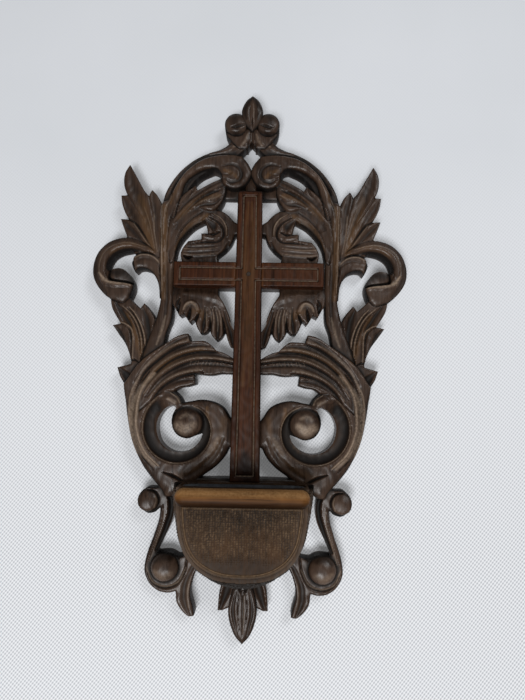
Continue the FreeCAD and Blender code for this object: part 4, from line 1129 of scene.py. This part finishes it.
# %% [markdown]
# ## The middle of the board
# Behind the cross and the bowl the plank is left plain. The bud of the finial, the crown under it and the
# middle leaf of the pendant stand on the centre line. If they were carved as halves, a seam would show in the
# middle, so they are drawn whole: a run down the right side, and the left side follows by itself.

# %% Outlines on the centre line
def mirrored_outline(*runs):
    """A closed outline from runs down the right side; the left side follows by itself."""
    right = outline(*runs)
    left = right[::-1] * (-1, 1)
    return np.vstack([right, left[1:-1]])


BUD = mirrored_outline([(0, 107.2), (3.2, 104.4), (5.3, 100.4), (6.1, 96), (4.6, 90), (0, 85)])
CROWN = mirrored_outline([(0, 88), (4, 87.6)], [(7.6, 82), (8.4, 77), (4.6, 75.4)], [(0, 79.6)])
PENDANT = mirrored_outline([(0, -160), (3.4, -160)],
                           [(6, -168), (7.5, -176), (6.5, -183), (3.9, -189.4), (0, -193.9)])
GROUND = mirrored_outline([(0, 46.6), (6.1, 46.6)], [(6.3, 6)], [(41.6, 6)], [(41.6, -6)], [(6.5, -6)],
                          [(7.4, -109)], [(30, -109.4)],
                          [(29.6, -124), (27.4, -139), (24, -148), (18.6, -154.6), (11, -159.6), (0, -164.5)])
WEB = mirrored_outline([(0, 53), (15.8, 53)], [(15.8, 46.8)], [(0, 46.6)])
BRIDGE = mirrored_outline([(0, 63), (3, 62.6)], [(3, 50)], [(0, 50)])
for name, loop in (("bud", BUD), ("crown", CROWN), ("pendant", PENDANT), ("plain ground", GROUND)):
    measure(name, loop)

# %% Bud, crown and pendant leaf
def carve_bud(wood):
    wood.lay(BUD, [(0, 84, 10), (0, 96, 11.4), (0, 106, 10.4)], 1.8, 4.0)
    for side in (-1, 1):
        wood.hollow([(side * 1.2, 89, 0.5), (side * 2.0, 95, 1.4), (side * 1.2, 101, 0.4)], 0.25)
        wood.blacken([(side * 3.4, 92, 1), (side * 4, 98, 2.4), (side * 1, 105, 2)], 0.9)
    wood.knife([(0, 87, 0.4), (0, 90, 0.8), (0, 93, 0.3)], 0.8)
    for side in (-1, 1):
        wood.knife([(side * 1.3, 91, 0.3), (side * 1.5, 96, 0.5), (side * 0.8, 101, 0.2)], 0.4)
    wood.wax_and_highlight([(0.9, 90, 0.3), (0.8, 96, 0.6), (0.4, 101, 0.3)], 0.3)


def carve_crown(wood):
    wood.lay(CROWN, 8.7, 1.6, 3.0)
    for side in (-1, 1):
        wood.ridge([(side * 2.2, 88, 1.6), (side * 3.6, 82, 3.0), (side * 6.6, 76.6, 3.2)], 0.5)
        wood.wax_and_highlight([(side * 2.4, 84, 0.8), (side * 3.8, 80, 1.4), (side * 6, 77, 1.0)], 0.3)
    wood.knife([(0, 78, 0.8), (0, 82, 1.1), (0, 86, 0.9), (0, 91, 0.5)], 2.0)
    wood.blacken([(0, 77, 3), (0, 88, 5)], 0.7)


def carve_pendant(wood):
    wood.lay(PENDANT, [(0, -160, 9.4), (0, -176, 10.4), (0, -193, 9)], 1.2, 2.8)
    wood.knife([(0, -166, 0.4), (0.2, -176, 0.7), (0, -190, 0.2)], 0.5)
    for side in (-1, 1):
        wood.hollow([(side * 3.6, -167, 0.6), (side * 4.9, -177, 1.4), (side * 2.4, -189, 0.5)], 0.7)
        wood.knife([(side * 1.8, -168, 0.3), (side * 2.4, -177, 0.5), (side * 1.2, -187, 0.2)], 0.35)
        wood.knife([(side * 4.6, -160, 0.5), (side * 1.6, -165.6, 0.9), (side * 0.3, -169, 0.4)], 0.9)
    wood.wax_and_highlight([(0.6, -168, 0.3), (0.8, -178, 0.6), (0.4, -188, 0.3)], 0.35)
    # Painted shade across the leaf's top, just under the bowl.
    wood.blacken([(-6, -163, 4), (0, -164, 5), (6, -163, 4)], 0.9)


print("the bud covers the crown by", round(CROWN[:, 1].max() - BUD[:, 1].min(), 1), "mm")

# %% Plain ground
GROUND_TOP, BRIDGE_TOP, WEB_TOP = 11.0, 7.0, 5.0


def carve_ground(wood):
    """A plain board, thinner where the arch's web and bridge hide behind the carving."""
    wood.h += 1.0
    wood.lay(WEB, WEB_TOP, 0.6, 1.0)
    wood.lay(BRIDGE, BRIDGE_TOP, 0.6, 1.0)
    wood.lay(GROUND, GROUND_TOP, 0.3, 0.6)
    # Painted shade on the ground in the bowl's mouth, behind the moulding.
    wood.blacken([(-36, -109, 6), (0, -106, 10), (36, -109, 6)], 0.9)


print("the ground is", GROUND_TOP, "mm thick behind the cross")

# %% [markdown]
# ## Cuts with a tool
# The plank hangs on a nail. A keyhole in its back hides it: the nail's head goes in at the round hole, and its
# shank slides up a slot whose lips hold the head. Two screws come through the ground into the bowl and have
# coned seats. Such holes aren't heights of a relief, so each is a closed tool that a Boolean takes away.

# %% Tools from rings
def cutter(*rings):
    """A closed tool from rings of (x, y, z) with the same number of points."""
    bm = bmesh.new()
    rings = [[bm.verts.new([c * MM for c in point]) for point in ring] for ring in rings]
    for near, far in zip(rings, rings[1:]):
        for k in range(len(near)):
            bm.faces.new([near[k], near[k - 1], far[k - 1], far[k]])
    bm.faces.new(rings[0])
    bm.faces.new(rings[-1][::-1])
    bmesh.ops.recalc_face_normals(bm, faces=bm.faces[:])
    mesh = bpy.data.meshes.new("cutter")
    bm.to_mesh(mesh)
    bm.free()
    return mesh


RING_POINTS = 32


def round_ring(x, z, radius, depth, rise=0.0):
    """A circle at a depth in front of the back; with a rise it is drawn out upwards."""
    turns = [math.pi * (2 * k + 1) / RING_POINTS for k in range(RING_POINTS)]
    return [(x + radius * math.cos(t), -depth, z + radius * math.sin(t) + (rise if math.sin(t) > 0 else 0.0))
            for t in turns]


def subtract(mesh, tool_mesh):
    """Takes a closed tool away from a closed mesh, and gives the result under the mesh's name."""
    block, tool = bring_in("block", mesh), bring_in("tool", tool_mesh)
    modifier = block.modifiers.new("cut", "BOOLEAN")
    modifier.object, modifier.operation, modifier.solver = tool, "DIFFERENCE", "EXACT"
    result = bpy.data.meshes.new_from_object(block.evaluated_get(bpy.context.evaluated_depsgraph_get()))
    name = mesh.name
    for item in (block, tool):
        bpy.data.objects.remove(item)
    for old in (mesh, tool_mesh):
        bpy.data.meshes.remove(old)
    result.name = name
    return result


test = cutter(round_ring(0, 0, 2.0, 0), round_ring(0, 0, 2.0, 5.0))
print("a round tool has", len(test.polygons), "faces")
bpy.data.meshes.remove(test)

# %% Keyhole and screw seats
KEYHOLE_Z, NAIL_HEAD, NAIL_SHANK, LIP, KEYHOLE_DEPTH, RISE = 24.0, 3.8, 1.7, 1.8, 5.4, 9.0
SCREW_X, SCREW_Z, SCREW_HEAD, SCREW_CONE, SCREW_PLAY = 11.0, -143.0, 2.9, 1.4, 0.1
BEHIND = -1


def bore(x, z, radius, near, far, rise=0.0):
    """A straight tool from one depth to another; what opens the back starts behind it."""
    return cutter(round_ring(x, z, radius, near, rise), round_ring(x, z, radius, far, rise))


BACK_CUTS = [bore(0, KEYHOLE_Z, NAIL_HEAD, BEHIND, KEYHOLE_DEPTH),
             bore(0, KEYHOLE_Z, NAIL_HEAD, LIP, KEYHOLE_DEPTH, RISE - NAIL_HEAD),
             bore(0, KEYHOLE_Z, NAIL_SHANK, BEHIND, LIP + 1, RISE - NAIL_SHANK)]
for side in (-1, 1):
    BACK_CUTS.append(cutter(*[round_ring(side * SCREW_X, SCREW_Z, SCREW_HEAD - depth + SCREW_PLAY, depth)
                              for depth in (BEHIND, SCREW_CONE)]))
print(len(BACK_CUTS), "tools for the back")

# %% The middle pieces
# The pieces overlap, so their backs lie a hair's breadth apart.
for name, carve, solids, window, pitch, back in (
        ("finial_bud", carve_bud, [BUD], (-6.6, 6.8, 84.6, 107.8), 0.35, 0.2),
        ("finial_crown", carve_crown, [CROWN], (-9.2, 9.4, 74.6, 88.6), 0.35, 0.3),
        ("pendant_leaf", carve_pendant, [PENDANT], (-8, 8.2, -194.6, -159.4), 0.35, 0.2),
        ("plain_ground", carve_ground, [GROUND, WEB, BRIDGE], (-42.2, 42.4, -165.2, 63.6), 0.8, 0.1)):
    mesh = closed_solid(name, *relief_mesh(carve, solids, [], window, pitch), rings=((back, 1.0),))
    if carve is carve_ground:
        for back_cut in BACK_CUTS:
            mesh = subtract(mesh, back_cut)
    place(mesh, WALNUT, "walnut", "back_board")

# %% [markdown]
# ## The cross
# Two flat bars are halved into each other and glued on the board. A scribed line runs round the whole cross a little
# inside its edges, and the edges are only broken with a scraper. Boxes with a Bevel would do for the bars, but the
# line, with painted shade along its cut and pale wax in it, would be missing. So the bars are reliefs too, and the
# line is one knife stroke from corner to corner.

# %% The cross's lines
CROSS_FRONT, CROSS_BACK, LINE_INSET = 18.0, 11.0, 3.3
UPRIGHT_TOP, UPRIGHT_FOOT, ARM_HALF, ARM_END = 47.0, -110.0, 6.6, 40.5
WIDTH_AT_TOP, WIDENING = 13.4, 2.2
LINE_WIDTH, LINE_DEPTH, LAP_SEAM, LAP_FLOOR = 0.75, 0.8, 0.35, 14.5


def half_width_at(z):
    return (WIDTH_AT_TOP + (UPRIGHT_TOP - z) / (UPRIGHT_TOP - UPRIGHT_FOOT) * WIDENING) / 2


def cross_line(inset):
    """The corners of the cross, all drawn in by the inset."""
    rows = [(UPRIGHT_TOP - inset, half_width_at(UPRIGHT_TOP)), (ARM_HALF - inset, half_width_at(ARM_HALF))]
    right = [(half_width_at(rows[0][0]) - inset, rows[0][0]), (half_width_at(rows[1][0]) - inset, rows[1][0]),
             (ARM_END - inset, ARM_HALF - inset), (ARM_END - inset, inset - ARM_HALF),
             (half_width_at(-ARM_HALF) - inset, inset - ARM_HALF),
             (half_width_at(UPRIGHT_FOOT) - inset, UPRIGHT_FOOT + inset)]
    return right + [(-px, pz) for px, pz in reversed(right)]


def scribe(wood):
    corners = cross_line(LINE_INSET)
    for (ax, az), (bx, bz) in zip(corners, corners[1:] + corners[:1]):
        wood.knife([(ax, az, LINE_WIDTH), (bx, bz, LINE_WIDTH)], LINE_DEPTH)
        wood.wax_and_highlight([(ax, az, LINE_WIDTH * 0.5), (bx, bz, LINE_WIDTH * 0.5)], 0.6)


print("the scribed line has", len(cross_line(LINE_INSET)), "corners")

# %% Cross
upright_corners = [(half_width_at(UPRIGHT_TOP), UPRIGHT_TOP), (half_width_at(UPRIGHT_FOOT), UPRIGHT_FOOT)]
UPRIGHT = np.array(upright_corners + [(-px, pz) for px, pz in reversed(upright_corners)])
ARM = np.array([(ARM_END, ARM_HALF), (ARM_END, -ARM_HALF), (-ARM_END, -ARM_HALF), (-ARM_END, ARM_HALF)])


def carve_upright(wood):
    wood.lay(UPRIGHT, CROSS_FRONT, 0.5, 0.9)
    wood.h -= np.clip(wood.z - UPRIGHT_TOP + 2.2, 0, 3) * 0.5
    scribe(wood)
    # The upright darkens towards its foot, and is painted shade where the foot goes behind the moulding into the bowl.
    wood.blacken([(0, -96, 4), (0, -104, 12), (0, -112, 14)], 0.9)
    for side in (-1, 1):
        wood.blacken([(side * 7, 47, 1.4), (side * 7.6, -30, 2), (side * 8, -110, 3)], 0.6)
        wood.rub_and_light([(side * 1, 40, 1), (side * 2, 10, 2.5), (side * 1, -30, 3), (side * 2, -60, 1.5)], 0.5)


def carve_arm(wood):
    wood.lay(ARM, CROSS_FRONT, 0.5, 0.9)
    scribe(wood)
    seam = np.abs(wood.x) - half_width_at(wood.z)
    wood.h -= LAP_SEAM * ease(1 - seam / 0.5)
    wood.h = np.where(seam < -0.2, LAP_FLOOR, wood.h)


for name, carve, loop, window in (("upright", carve_upright, UPRIGHT, (-8.2, 8.4, -110.4, 47.4)),
                                  ("arm", carve_arm, ARM, (-41, 41.2, -7, 7.2))):
    mesh = closed_solid("cross_" + name + "_wood", *relief_mesh(carve, [loop], [], window, 0.4),
                        rings=((CROSS_BACK, 1.0),))
    place(mesh, CROSS_WALNUT, "walnut_cross", "cross_" + name)

# %% [markdown]
# ## The bowl
# The bowl is one block: a flat shield in front, flanks that swell out and come back in to the board, and a
# hollow cut down from the top. A subdivided box would make soft corners where the real shield has a clear
# border. So the front is a relief again, the walls behind it run through five rings that draw in towards the
# board, and the hollow is taken out with a tool.

# %% The bowl's lines
RIM_Z, FOOT_Z, PANEL_FRONT, FLANK_FRONT, BORDER_DROP, SWELL = -110.0, -159.6, 38.4, 24, 0.5, 1.9
# The panel turns back near its foot: from which height, within which height, and how far.
TURN_Z, TURN_HIGH, TURN_BACK = -136, 17, 1.2
BOWL = mirrored_outline([(0, RIM_Z), (35.4, RIM_Z)],
                        [(35.1, -116), (34.2, -122.4), (32.9, -129.3), (31, -136.3), (28, -142.7),
                         (24.1, -147.9), (18.8, -152.7), (12, -156.9), (4.8, -159.4), (0, FOOT_Z)])
PANEL = mirrored_outline([(0, RIM_Z), (31.1, RIM_Z)],
                         [(30.9, -116), (30.5, -122), (29.7, -129), (28.4, -135.6), (26.2, -141),
                          (22.6, -145.6), (18.4, -149), (13.4, -151.6), (7.4, -152.8), (0, -153.2)])
PANEL_LINE = [(28.8, -113), (28.4, -121), (27.6, -128.6), (26.3, -134.8), (24.1, -139.6), (20.8, -143.8),
              (16.8, -146.8), (12, -149.1), (6.6, -150.3), (0, -150.6)]
PUNCHED = np.array([(-x, z) for x, z in PANEL_LINE] + PANEL_LINE[-2::-1])
measure("bowl", BOWL)
measure("panel", PANEL)
measure("its punched ground", PUNCHED)

# %% The bowl's front
def carve_bowl(wood):
    """A flat shield that turns back a little at its foot, and swelling flanks beside it."""
    x, z = wood.x, wood.z
    outside = signed_distance(BOWL, x, z, 40)
    panel = signed_distance(PANEL, x, z, 40)
    panel_top = PANEL_FRONT - TURN_BACK * ease((TURN_Z - z) / TURN_HIGH) ** 2
    share = np.clip(panel / np.maximum(panel - outside, 0.1), 0, 1)
    flank = FLANK_FRONT + (panel_top - BORDER_DROP - FLANK_FRONT) * np.sqrt(np.clip(1 - share ** SWELL, 0, 1))
    wood.h = np.where(panel < 0, panel_top - BORDER_DROP * (1 - ease(-panel / 0.9)), flank)
    wood.weight = ease(-panel / 0.8)
    for side in (-1, 1):
        line = [(side * px, pz, 0.55) for px, pz in PANEL_LINE]
        wood.knife(line, 0.45)
        wood.wax_and_highlight([(px, pz, 0.4) for px, pz, _ in line], 0.65)
        # A faint painted highlight along the shield's edge, just outside the line.
        wood.wax_and_highlight([(side * px * 1.045, pz - 0.6, 0.8) for px, pz in PANEL_LINE[1:]], 0.22)
    wood.rub_and_light([(-10, -138, 8), (4, -134, 12), (16, -140, 7)], 0.5)
    wood.blacken([(-24, -122, 6), (0, -123, 9), (24, -122, 6)], 0.45)
    # Painted shade under the shield's foot, where the bowl turns under.
    wood.blacken([(-26, -150, 5), (0, -156, 7), (26, -150, 5)], 0.9)
    wood.wax_and_highlight([(-28, -119.6, 0.6), (0, -119.6, 0.6), (28, -119.6, 0.6)], 0.4)


front = relief_mesh(carve_bowl, [BOWL], [], (-36, 36.2, -160.4, -109.4), 0.3)
bowl_x, bowl_z, bowl_h, _, bowl_marks = front
# Painted shade: the flanks beside the shield are darkened, more towards the foot.
beyond_panel = ease((signed_distance(PANEL, bowl_x, bowl_z, 9) + 0.3) / 1.2)
bowl_marks["grime"] = np.maximum(bowl_marks["grime"], beyond_panel * (0.45 + 0.55 * ease((-bowl_z - 128) / 14)))
bowl_marks["ground"] = np.clip((-signed_distance(PUNCHED, bowl_x, bowl_z, 40) - 0.5) / 1.0, 0, 1)
print("the shield stands", round(bowl_h.max(), 1), "mm in front of the wall")

# %% The bowl's block and its hollow
BOWL_RINGS = ((20, 0.992), (17, 0.95), (14.4, 0.875), (12.4, 0.77), (11, 0.664))
BACK_OUT, FRONT_OUT, WIDE, FLOOR_Z, LEAN = 18.9, 34.3, 31.2, -140.0, 4.5
HOLLOW_POINTS, ABOVE_RIM, SIDE_POWER, FRONT_POWER = 48, 4, 0.45, 0.6


def rounded(value, power):
    """Makes a circle squarer: the lower the power, the tighter its corners."""
    return math.copysign(abs(value) ** power, value)


hollow = []
for z, lean in ((RIM_Z + ABOVE_RIM, -LEAN * ABOVE_RIM / (RIM_Z - FLOOR_Z)), (FLOOR_Z, LEAN)):
    turns = [2 * math.pi * k / HOLLOW_POINTS for k in range(HOLLOW_POINTS)]
    hollow.append([((WIDE - lean) * rounded(math.cos(t), SIDE_POWER),
                    -(BACK_OUT + FRONT_OUT) / 2 + (FRONT_OUT - BACK_OUT) / 2 * rounded(math.sin(t), FRONT_POWER), z)
                   for t in turns])
bowl_cut = subtract(closed_solid("bowl_block", *front, rings=BOWL_RINGS, hub=RIM_Z), cutter(*hollow))
print("bowl with its hollow:", len(bowl_cut.polygons), "faces")

# %% [markdown]
# ## The punched ground
# A carver mats the ground of a panel with hundreds of blows of a small punch, in rows that run down it. Each
# blow leaves a dent. A bump texture would look right from the front only. So the blows are points, and
# Geometry Nodes push the panel in wherever a point is near. The spacing, the punch and the depth are named
# inputs, and can be changed in one place.

# %% Geometry Nodes in short
class Recipe(Tree):
    """A Geometry Nodes tree with named inputs."""
    def __init__(self, name, **sizes):
        super().__init__(bpy.data.node_groups.new(name, "GeometryNodeTree"))
        sockets, self.sizes = self.tree.interface, {}
        sockets.new_socket("Geometry", in_out="INPUT", socket_type="NodeSocketGeometry")
        for label, value in sizes.items():
            kind = "NodeSocketInt" if isinstance(value, int) else "NodeSocketFloat"
            made = sockets.new_socket(label.replace("_", " "), in_out="INPUT", socket_type=kind)
            self.sizes[made.identifier] = value
        sockets.new_socket("Geometry", in_out="OUTPUT", socket_type="NodeSocketGeometry")
        self.entry = self.tree.nodes.new("NodeGroupInput")

    def given(self, label):
        """One of the tree's named inputs."""
        return Wire(self, self.entry.outputs[label])

    def grow(self, mesh, geometry, finish):
        """Ends the tree, runs it on a mesh and gives back a plain mesh."""
        whole = self.node("GeometryNodeRealizeInstances", {}, {0: geometry})
        whole = self.node("GeometryNodeSetMaterial", {}, {"Geometry": whole, "Material": finish})
        self.tree.links.new(whole.socket, self.tree.nodes.new("NodeGroupOutput").inputs[0])
        host = bring_in("host", mesh)
        modifier = host.modifiers.new("recipe", "NODES")
        modifier.node_group = self.tree
        for identifier, value in self.sizes.items():
            modifier[identifier] = value
        result = bpy.data.meshes.new_from_object(host.evaluated_get(bpy.context.evaluated_depsgraph_get()))
        host.modifiers.remove(modifier)
        bpy.data.objects.remove(host)
        return result


print("a recipe can:", ", ".join(name for name in vars(Recipe) if not name.startswith("_")))

# %% Where the blows fall
GROUND_WIDE, GROUND_HIGH, GROUND_MIDDLE_Z = 0.060, 0.044, -0.1315
ROW_SPACING, BLOW_SPACING = 0.00125, 0.00102
punching = Recipe("punching", Row_Spacing=ROW_SPACING, Blow_Spacing=BLOW_SPACING, Scatter=0.00020,
                  Punch_Radius=0.00050, Depth=0.00060, Seed=7)
add, given = punching.node, punching.given
blows = add("GeometryNodeMeshGrid", {}, {"Size X": GROUND_WIDE, "Size Y": GROUND_HIGH,
                                         "Vertices X": GROUND_WIDE / given("Row Spacing"),
                                         "Vertices Y": GROUND_HIGH / given("Blow Spacing")})
blows = add("GeometryNodeTransform", {}, {"Geometry": blows, "Rotation": (math.radians(90), 0, 0),
                                          "Translation": (0, -PANEL_FRONT * MM, GROUND_MIDDLE_Z)})
scatter = given("Scatter")
low, high = [add("ShaderNodeCombineXYZ", {}, {0: far, 2: far}) for far in (scatter * -1.0, scatter)]
astray = add("FunctionNodeRandomValue", {"data_type": "FLOAT_VECTOR"}, {0: low, 1: high, "Seed": given("Seed")})
blows = add("GeometryNodeSetPosition", {}, {"Geometry": blows, "Offset": astray})
print("about", round(GROUND_WIDE / ROW_SPACING) * round(GROUND_HIGH / BLOW_SPACING), "blows")

# %% What a blow leaves
distance = add("GeometryNodeProximity", {"target_element": "POINTS"}, {0: blows}, 1)
near = 1.0 - distance / given("Punch Radius")
dent = near.sum("SMOOTH_MAX", near, 0.0, 0.1)
mask, dust = [add("GeometryNodeInputNamedAttribute", {"data_type": "FLOAT"}, {"Name": mark})
              for mark in ("ground", "dust")]
uneven = add("ShaderNodeTexNoise", {}, {"Scale": 320.0, "Detail": 2.0})
share = dent * mask * (uneven * 1.6 + 0.2)
push = add("ShaderNodeCombineXYZ", {}, {1: share * given("Depth")})
panel = add("GeometryNodeSetPosition", {}, {"Geometry": given("Geometry"), "Offset": push})
panel = add("GeometryNodeStoreNamedAttribute", {"data_type": "FLOAT", "domain": "POINT"},
            {"Geometry": panel, "Name": "dust", "Value": dust.sum("MAXIMUM", dust, share * 1.3)})
bowl_wood = punching.grow(bowl_cut, panel, BOWL_WALNUT)
bowl_wood.name = "bowl_wood"
print("bowl", len(bowl_wood.polygons), "faces")
place(bowl_wood, BOWL_WALNUT, "walnut", "bowl")

# %% [markdown]
# ## The moulding on the rim
# A half-round strip of lighter, rubbed wood lies along the top of the shield, golden on its upper side as rubbed wood
# and painted highlight, and darkened underneath with painted shade; its ends are rounded off in every direction. Half
# a cylinder would end in flat faces. So it is a row of half rounds from end to end, and the cross-sections near an end
# are the same half round at a smaller size.

# %% Moulding
MOULDING_HALF, MOULDING_HEIGHT, MOULDING_REACH = 32.5, 9.0, 4.6
END_STEPS, ROUND_STEPS, FULLNESS, LEAST_SIZE, SHARP_END = 14, 24, 0.9, 0.02, math.radians(50)


def half_round(name, half_length, z_top, height, wall, reach):
    """A half round along x, below z_top and in front of a wall, with round ends."""
    bm = bmesh.new()
    straight = half_length - reach
    ends = [straight + reach * math.sin(math.pi / 2 * k / END_STEPS) for k in range(END_STEPS + 1)]
    rows = []
    for station in [-end for end in reversed(ends)] + ends:
        over = max(0.0, abs(station) - straight) / reach
        size = max(math.sqrt(max(0.0, 1 - over ** 2)), LEAST_SIZE)
        row = []
        for k in range(ROUND_STEPS + 1):
            turn = math.pi * k / ROUND_STEPS
            y = wall + reach * size ** FULLNESS * math.sin(turn) ** FULLNESS
            z = z_top - height / 2 + height / 2 * size * math.cos(turn)
            row.append(bm.verts.new((station * MM, -y * MM, z * MM)))
        rows.append(row)
    for near, far in zip(rows, rows[1:]):
        for k in range(ROUND_STEPS):
            bm.faces.new([near[k], near[k + 1], far[k + 1], far[k]])
        bm.faces.new([near[-1], near[0], far[0], far[-1]])
    bm.faces.new(rows[0])
    bm.faces.new(rows[-1][::-1])
    bmesh.ops.recalc_face_normals(bm, faces=bm.faces[:])
    for face in bm.faces:
        face.smooth = True
    mesh = bpy.data.meshes.new(name)
    bm.to_mesh(mesh)
    bm.free()
    mesh.set_sharp_from_angle(angle=SHARP_END)
    return mesh


moulding = half_round("moulding_wood", MOULDING_HALF, RIM_Z, MOULDING_HEIGHT, PANEL_FRONT, MOULDING_REACH)
print("moulding:", len(moulding.polygons), "faces")

# %% Wear, painted highlight and painted shade on the moulding
# Painted light: the upper part is golden and pale, as rubbed wood and painted highlight with speckle, and the lower
# part is darkened as painted shade.
rise = np.array([(v.co.z / MM - RIM_Z) / MOULDING_HEIGHT + 1 for v in moulding.vertices])
for mark, values in (("warm", ease((rise - 0.25) / 0.45)), ("grime", 0.8 * ease((0.42 - rise) / 0.35)),
                     ("dust", 0.6 * ease((rise - 0.5) / 0.3))):
    moulding.attributes.new(mark, "FLOAT", "POINT").data.foreach_set("value", values)
    print(mark, "reaches", round(float(values.max()), 2))
place(moulding, RUBBED_WALNUT, "worn_walnut", "rim_moulding")

# %% [markdown]
# ## Cloth, light and camera
# The stoup lies on pale woven cloth. The weave is two crossed waves: modelled threads would be too fine to see.
# Towards the bottom the weave is painted with darker threads, as painted shadow between them, on paler cloth, where
# grazing light would show it; higher up the cloth is plain. The cloth also glows faintly, which is painted light that
# lightens the openings and the plank's back. The light is soft and comes from below the middle and from the upper
# right, so that every ridge has a bright and a dark side. The cloth is a stage: it is not part of the object, and from
# behind it is clear, so that the back can be looked at.

# %% Backdrop
# Painted light: the cloth glows faintly, so that it shows lighter in the openings and lights the plank's back.
cloth = Paint("woven_cloth", Roughness=0.9, Specular_IOR_Level=0.2, Emission_Color=(0.98, 0.99, 1.0, 1),
              Emission_Strength=0.12)
here = cloth.node("ShaderNodeTexCoord", {}, {}, OBJECT)
turned = cloth.node("ShaderNodeMapping", {}, {"Vector": here, "Rotation": (0, math.radians(-38), 0)})
weft, warp = [cloth.node("ShaderNodeTexWave", {"bands_direction": way},
                         {"Vector": turned, "Scale": scale, "Distortion": 0.4})
              for way, scale in (("X", 235.0), ("Z", 180.0))]
height = cloth.node("ShaderNodeSeparateXYZ", {}, {"Vector": here}, 2)
# Painted light: towards the bottom the cloth is paler and its threads darker, as painted shade between them, where
# grazing light would show the weave; higher up it is plain.
grazing_light = (0.35 - height * 4.2).clipped()
tone = cloth.noise(9.0, (1, 1, 1), 3)
thread = (weft * 0.55 + warp * 0.2 + weft * warp * 0.5) * (0.08 + grazing_light * 0.92)
shade = cloth.mix((tone * 1.6 - 0.3).clipped(), (0.535, 0.56, 0.595), (0.59, 0.61, 0.65))
shade = cloth.mix(grazing_light, shade, (0.745, 0.76, 0.785))
cloth.set("Base Color", cloth.mix(thread, shade, (0.36, 0.375, 0.405)))
cloth.bump(thread, 0.0002, 0.5)
clear = cloth.node("ShaderNodeBsdfTransparent", {}, {})
behind = cloth.node("ShaderNodeNewGeometry", {}, {}, "Backfacing")
both = cloth.node("ShaderNodeMixShader", {}, {0: behind, 1: Wire(cloth, cloth.shader.outputs[0]), 2: clear})
cloth.tree.links.new(both.socket, cloth.tree.nodes["Material Output"].inputs["Surface"])
CLOTH_HALF, CLOTH_Y = 1.2, 0.0008
backdrop = bpy.data.meshes.new("cloth")
backdrop.from_pydata([(x, CLOTH_Y, z) for x, z in ((-CLOTH_HALF, -CLOTH_HALF), (CLOTH_HALF, -CLOTH_HALF),
                                                   (CLOTH_HALF, CLOTH_HALF), (-CLOTH_HALF, CLOTH_HALF))],
                     [], [(0, 1, 2, 3)])
backdrop.materials.append(cloth.material)
cloth_sheet = bring_in("cloth", backdrop)
print("the cloth lies", CLOTH_Y / MM, "mm behind the plank")

# %% Light
world = bpy.data.worlds.new("room")
world.use_nodes = True
world.node_tree.nodes["Background"].inputs["Color"].default_value = (1.0, 0.985, 0.965, 1)
world.node_tree.nodes["Background"].inputs["Strength"].default_value = 0.20
bpy.context.scene.world = world


def lamp(name, place, power, size):
    light = bpy.data.lights.new(name, "AREA")
    light.energy, light.size = power, size
    item = bring_in(name, light)
    item.location = place
    item.rotation_mode = "QUATERNION"
    item.rotation_quaternion = (-Vector(place)).to_track_quat("-Z", "Y")
    print(name, "shines from", round(Vector(place).length, 2), "m away")


lamp("window", (-0.12, -0.96, -0.54), 8.6, 0.4)
lamp("ceiling", (0.52, -0.92, 0.50), 4.2, 0.4)

# %% Camera
CAMERA_AT = (0.01158, -0.29473, -0.06995)
TILT, YAW, ROLL = 0.104185, -0.012218, 0.017419
SENSOR, LENS = 36.0, 27.0
forward = Vector((math.sin(YAW) * math.cos(TILT), math.cos(YAW) * math.cos(TILT), math.sin(TILT)))
level = forward.cross(Vector((0, 0, 1))).normalized()
above = level.cross(forward)
right = level * math.cos(ROLL) + above * math.sin(ROLL)
up = above * math.cos(ROLL) - level * math.sin(ROLL)
lens = bpy.data.cameras.new("camera")
lens.sensor_fit, lens.sensor_height, lens.lens = "VERTICAL", SENSOR, LENS
camera = bring_in("camera", lens)
camera.matrix_world = Matrix.Translation(CAMERA_AT) @ Matrix((right, up, -forward)).transposed().to_4x4()
bpy.context.scene.camera = camera
bpy.context.scene.view_settings.view_transform = "Standard"
print("the camera looks up by", round(math.degrees(TILT), 1), "degrees")

# %% Finish
bpy.context.view_layer.update()
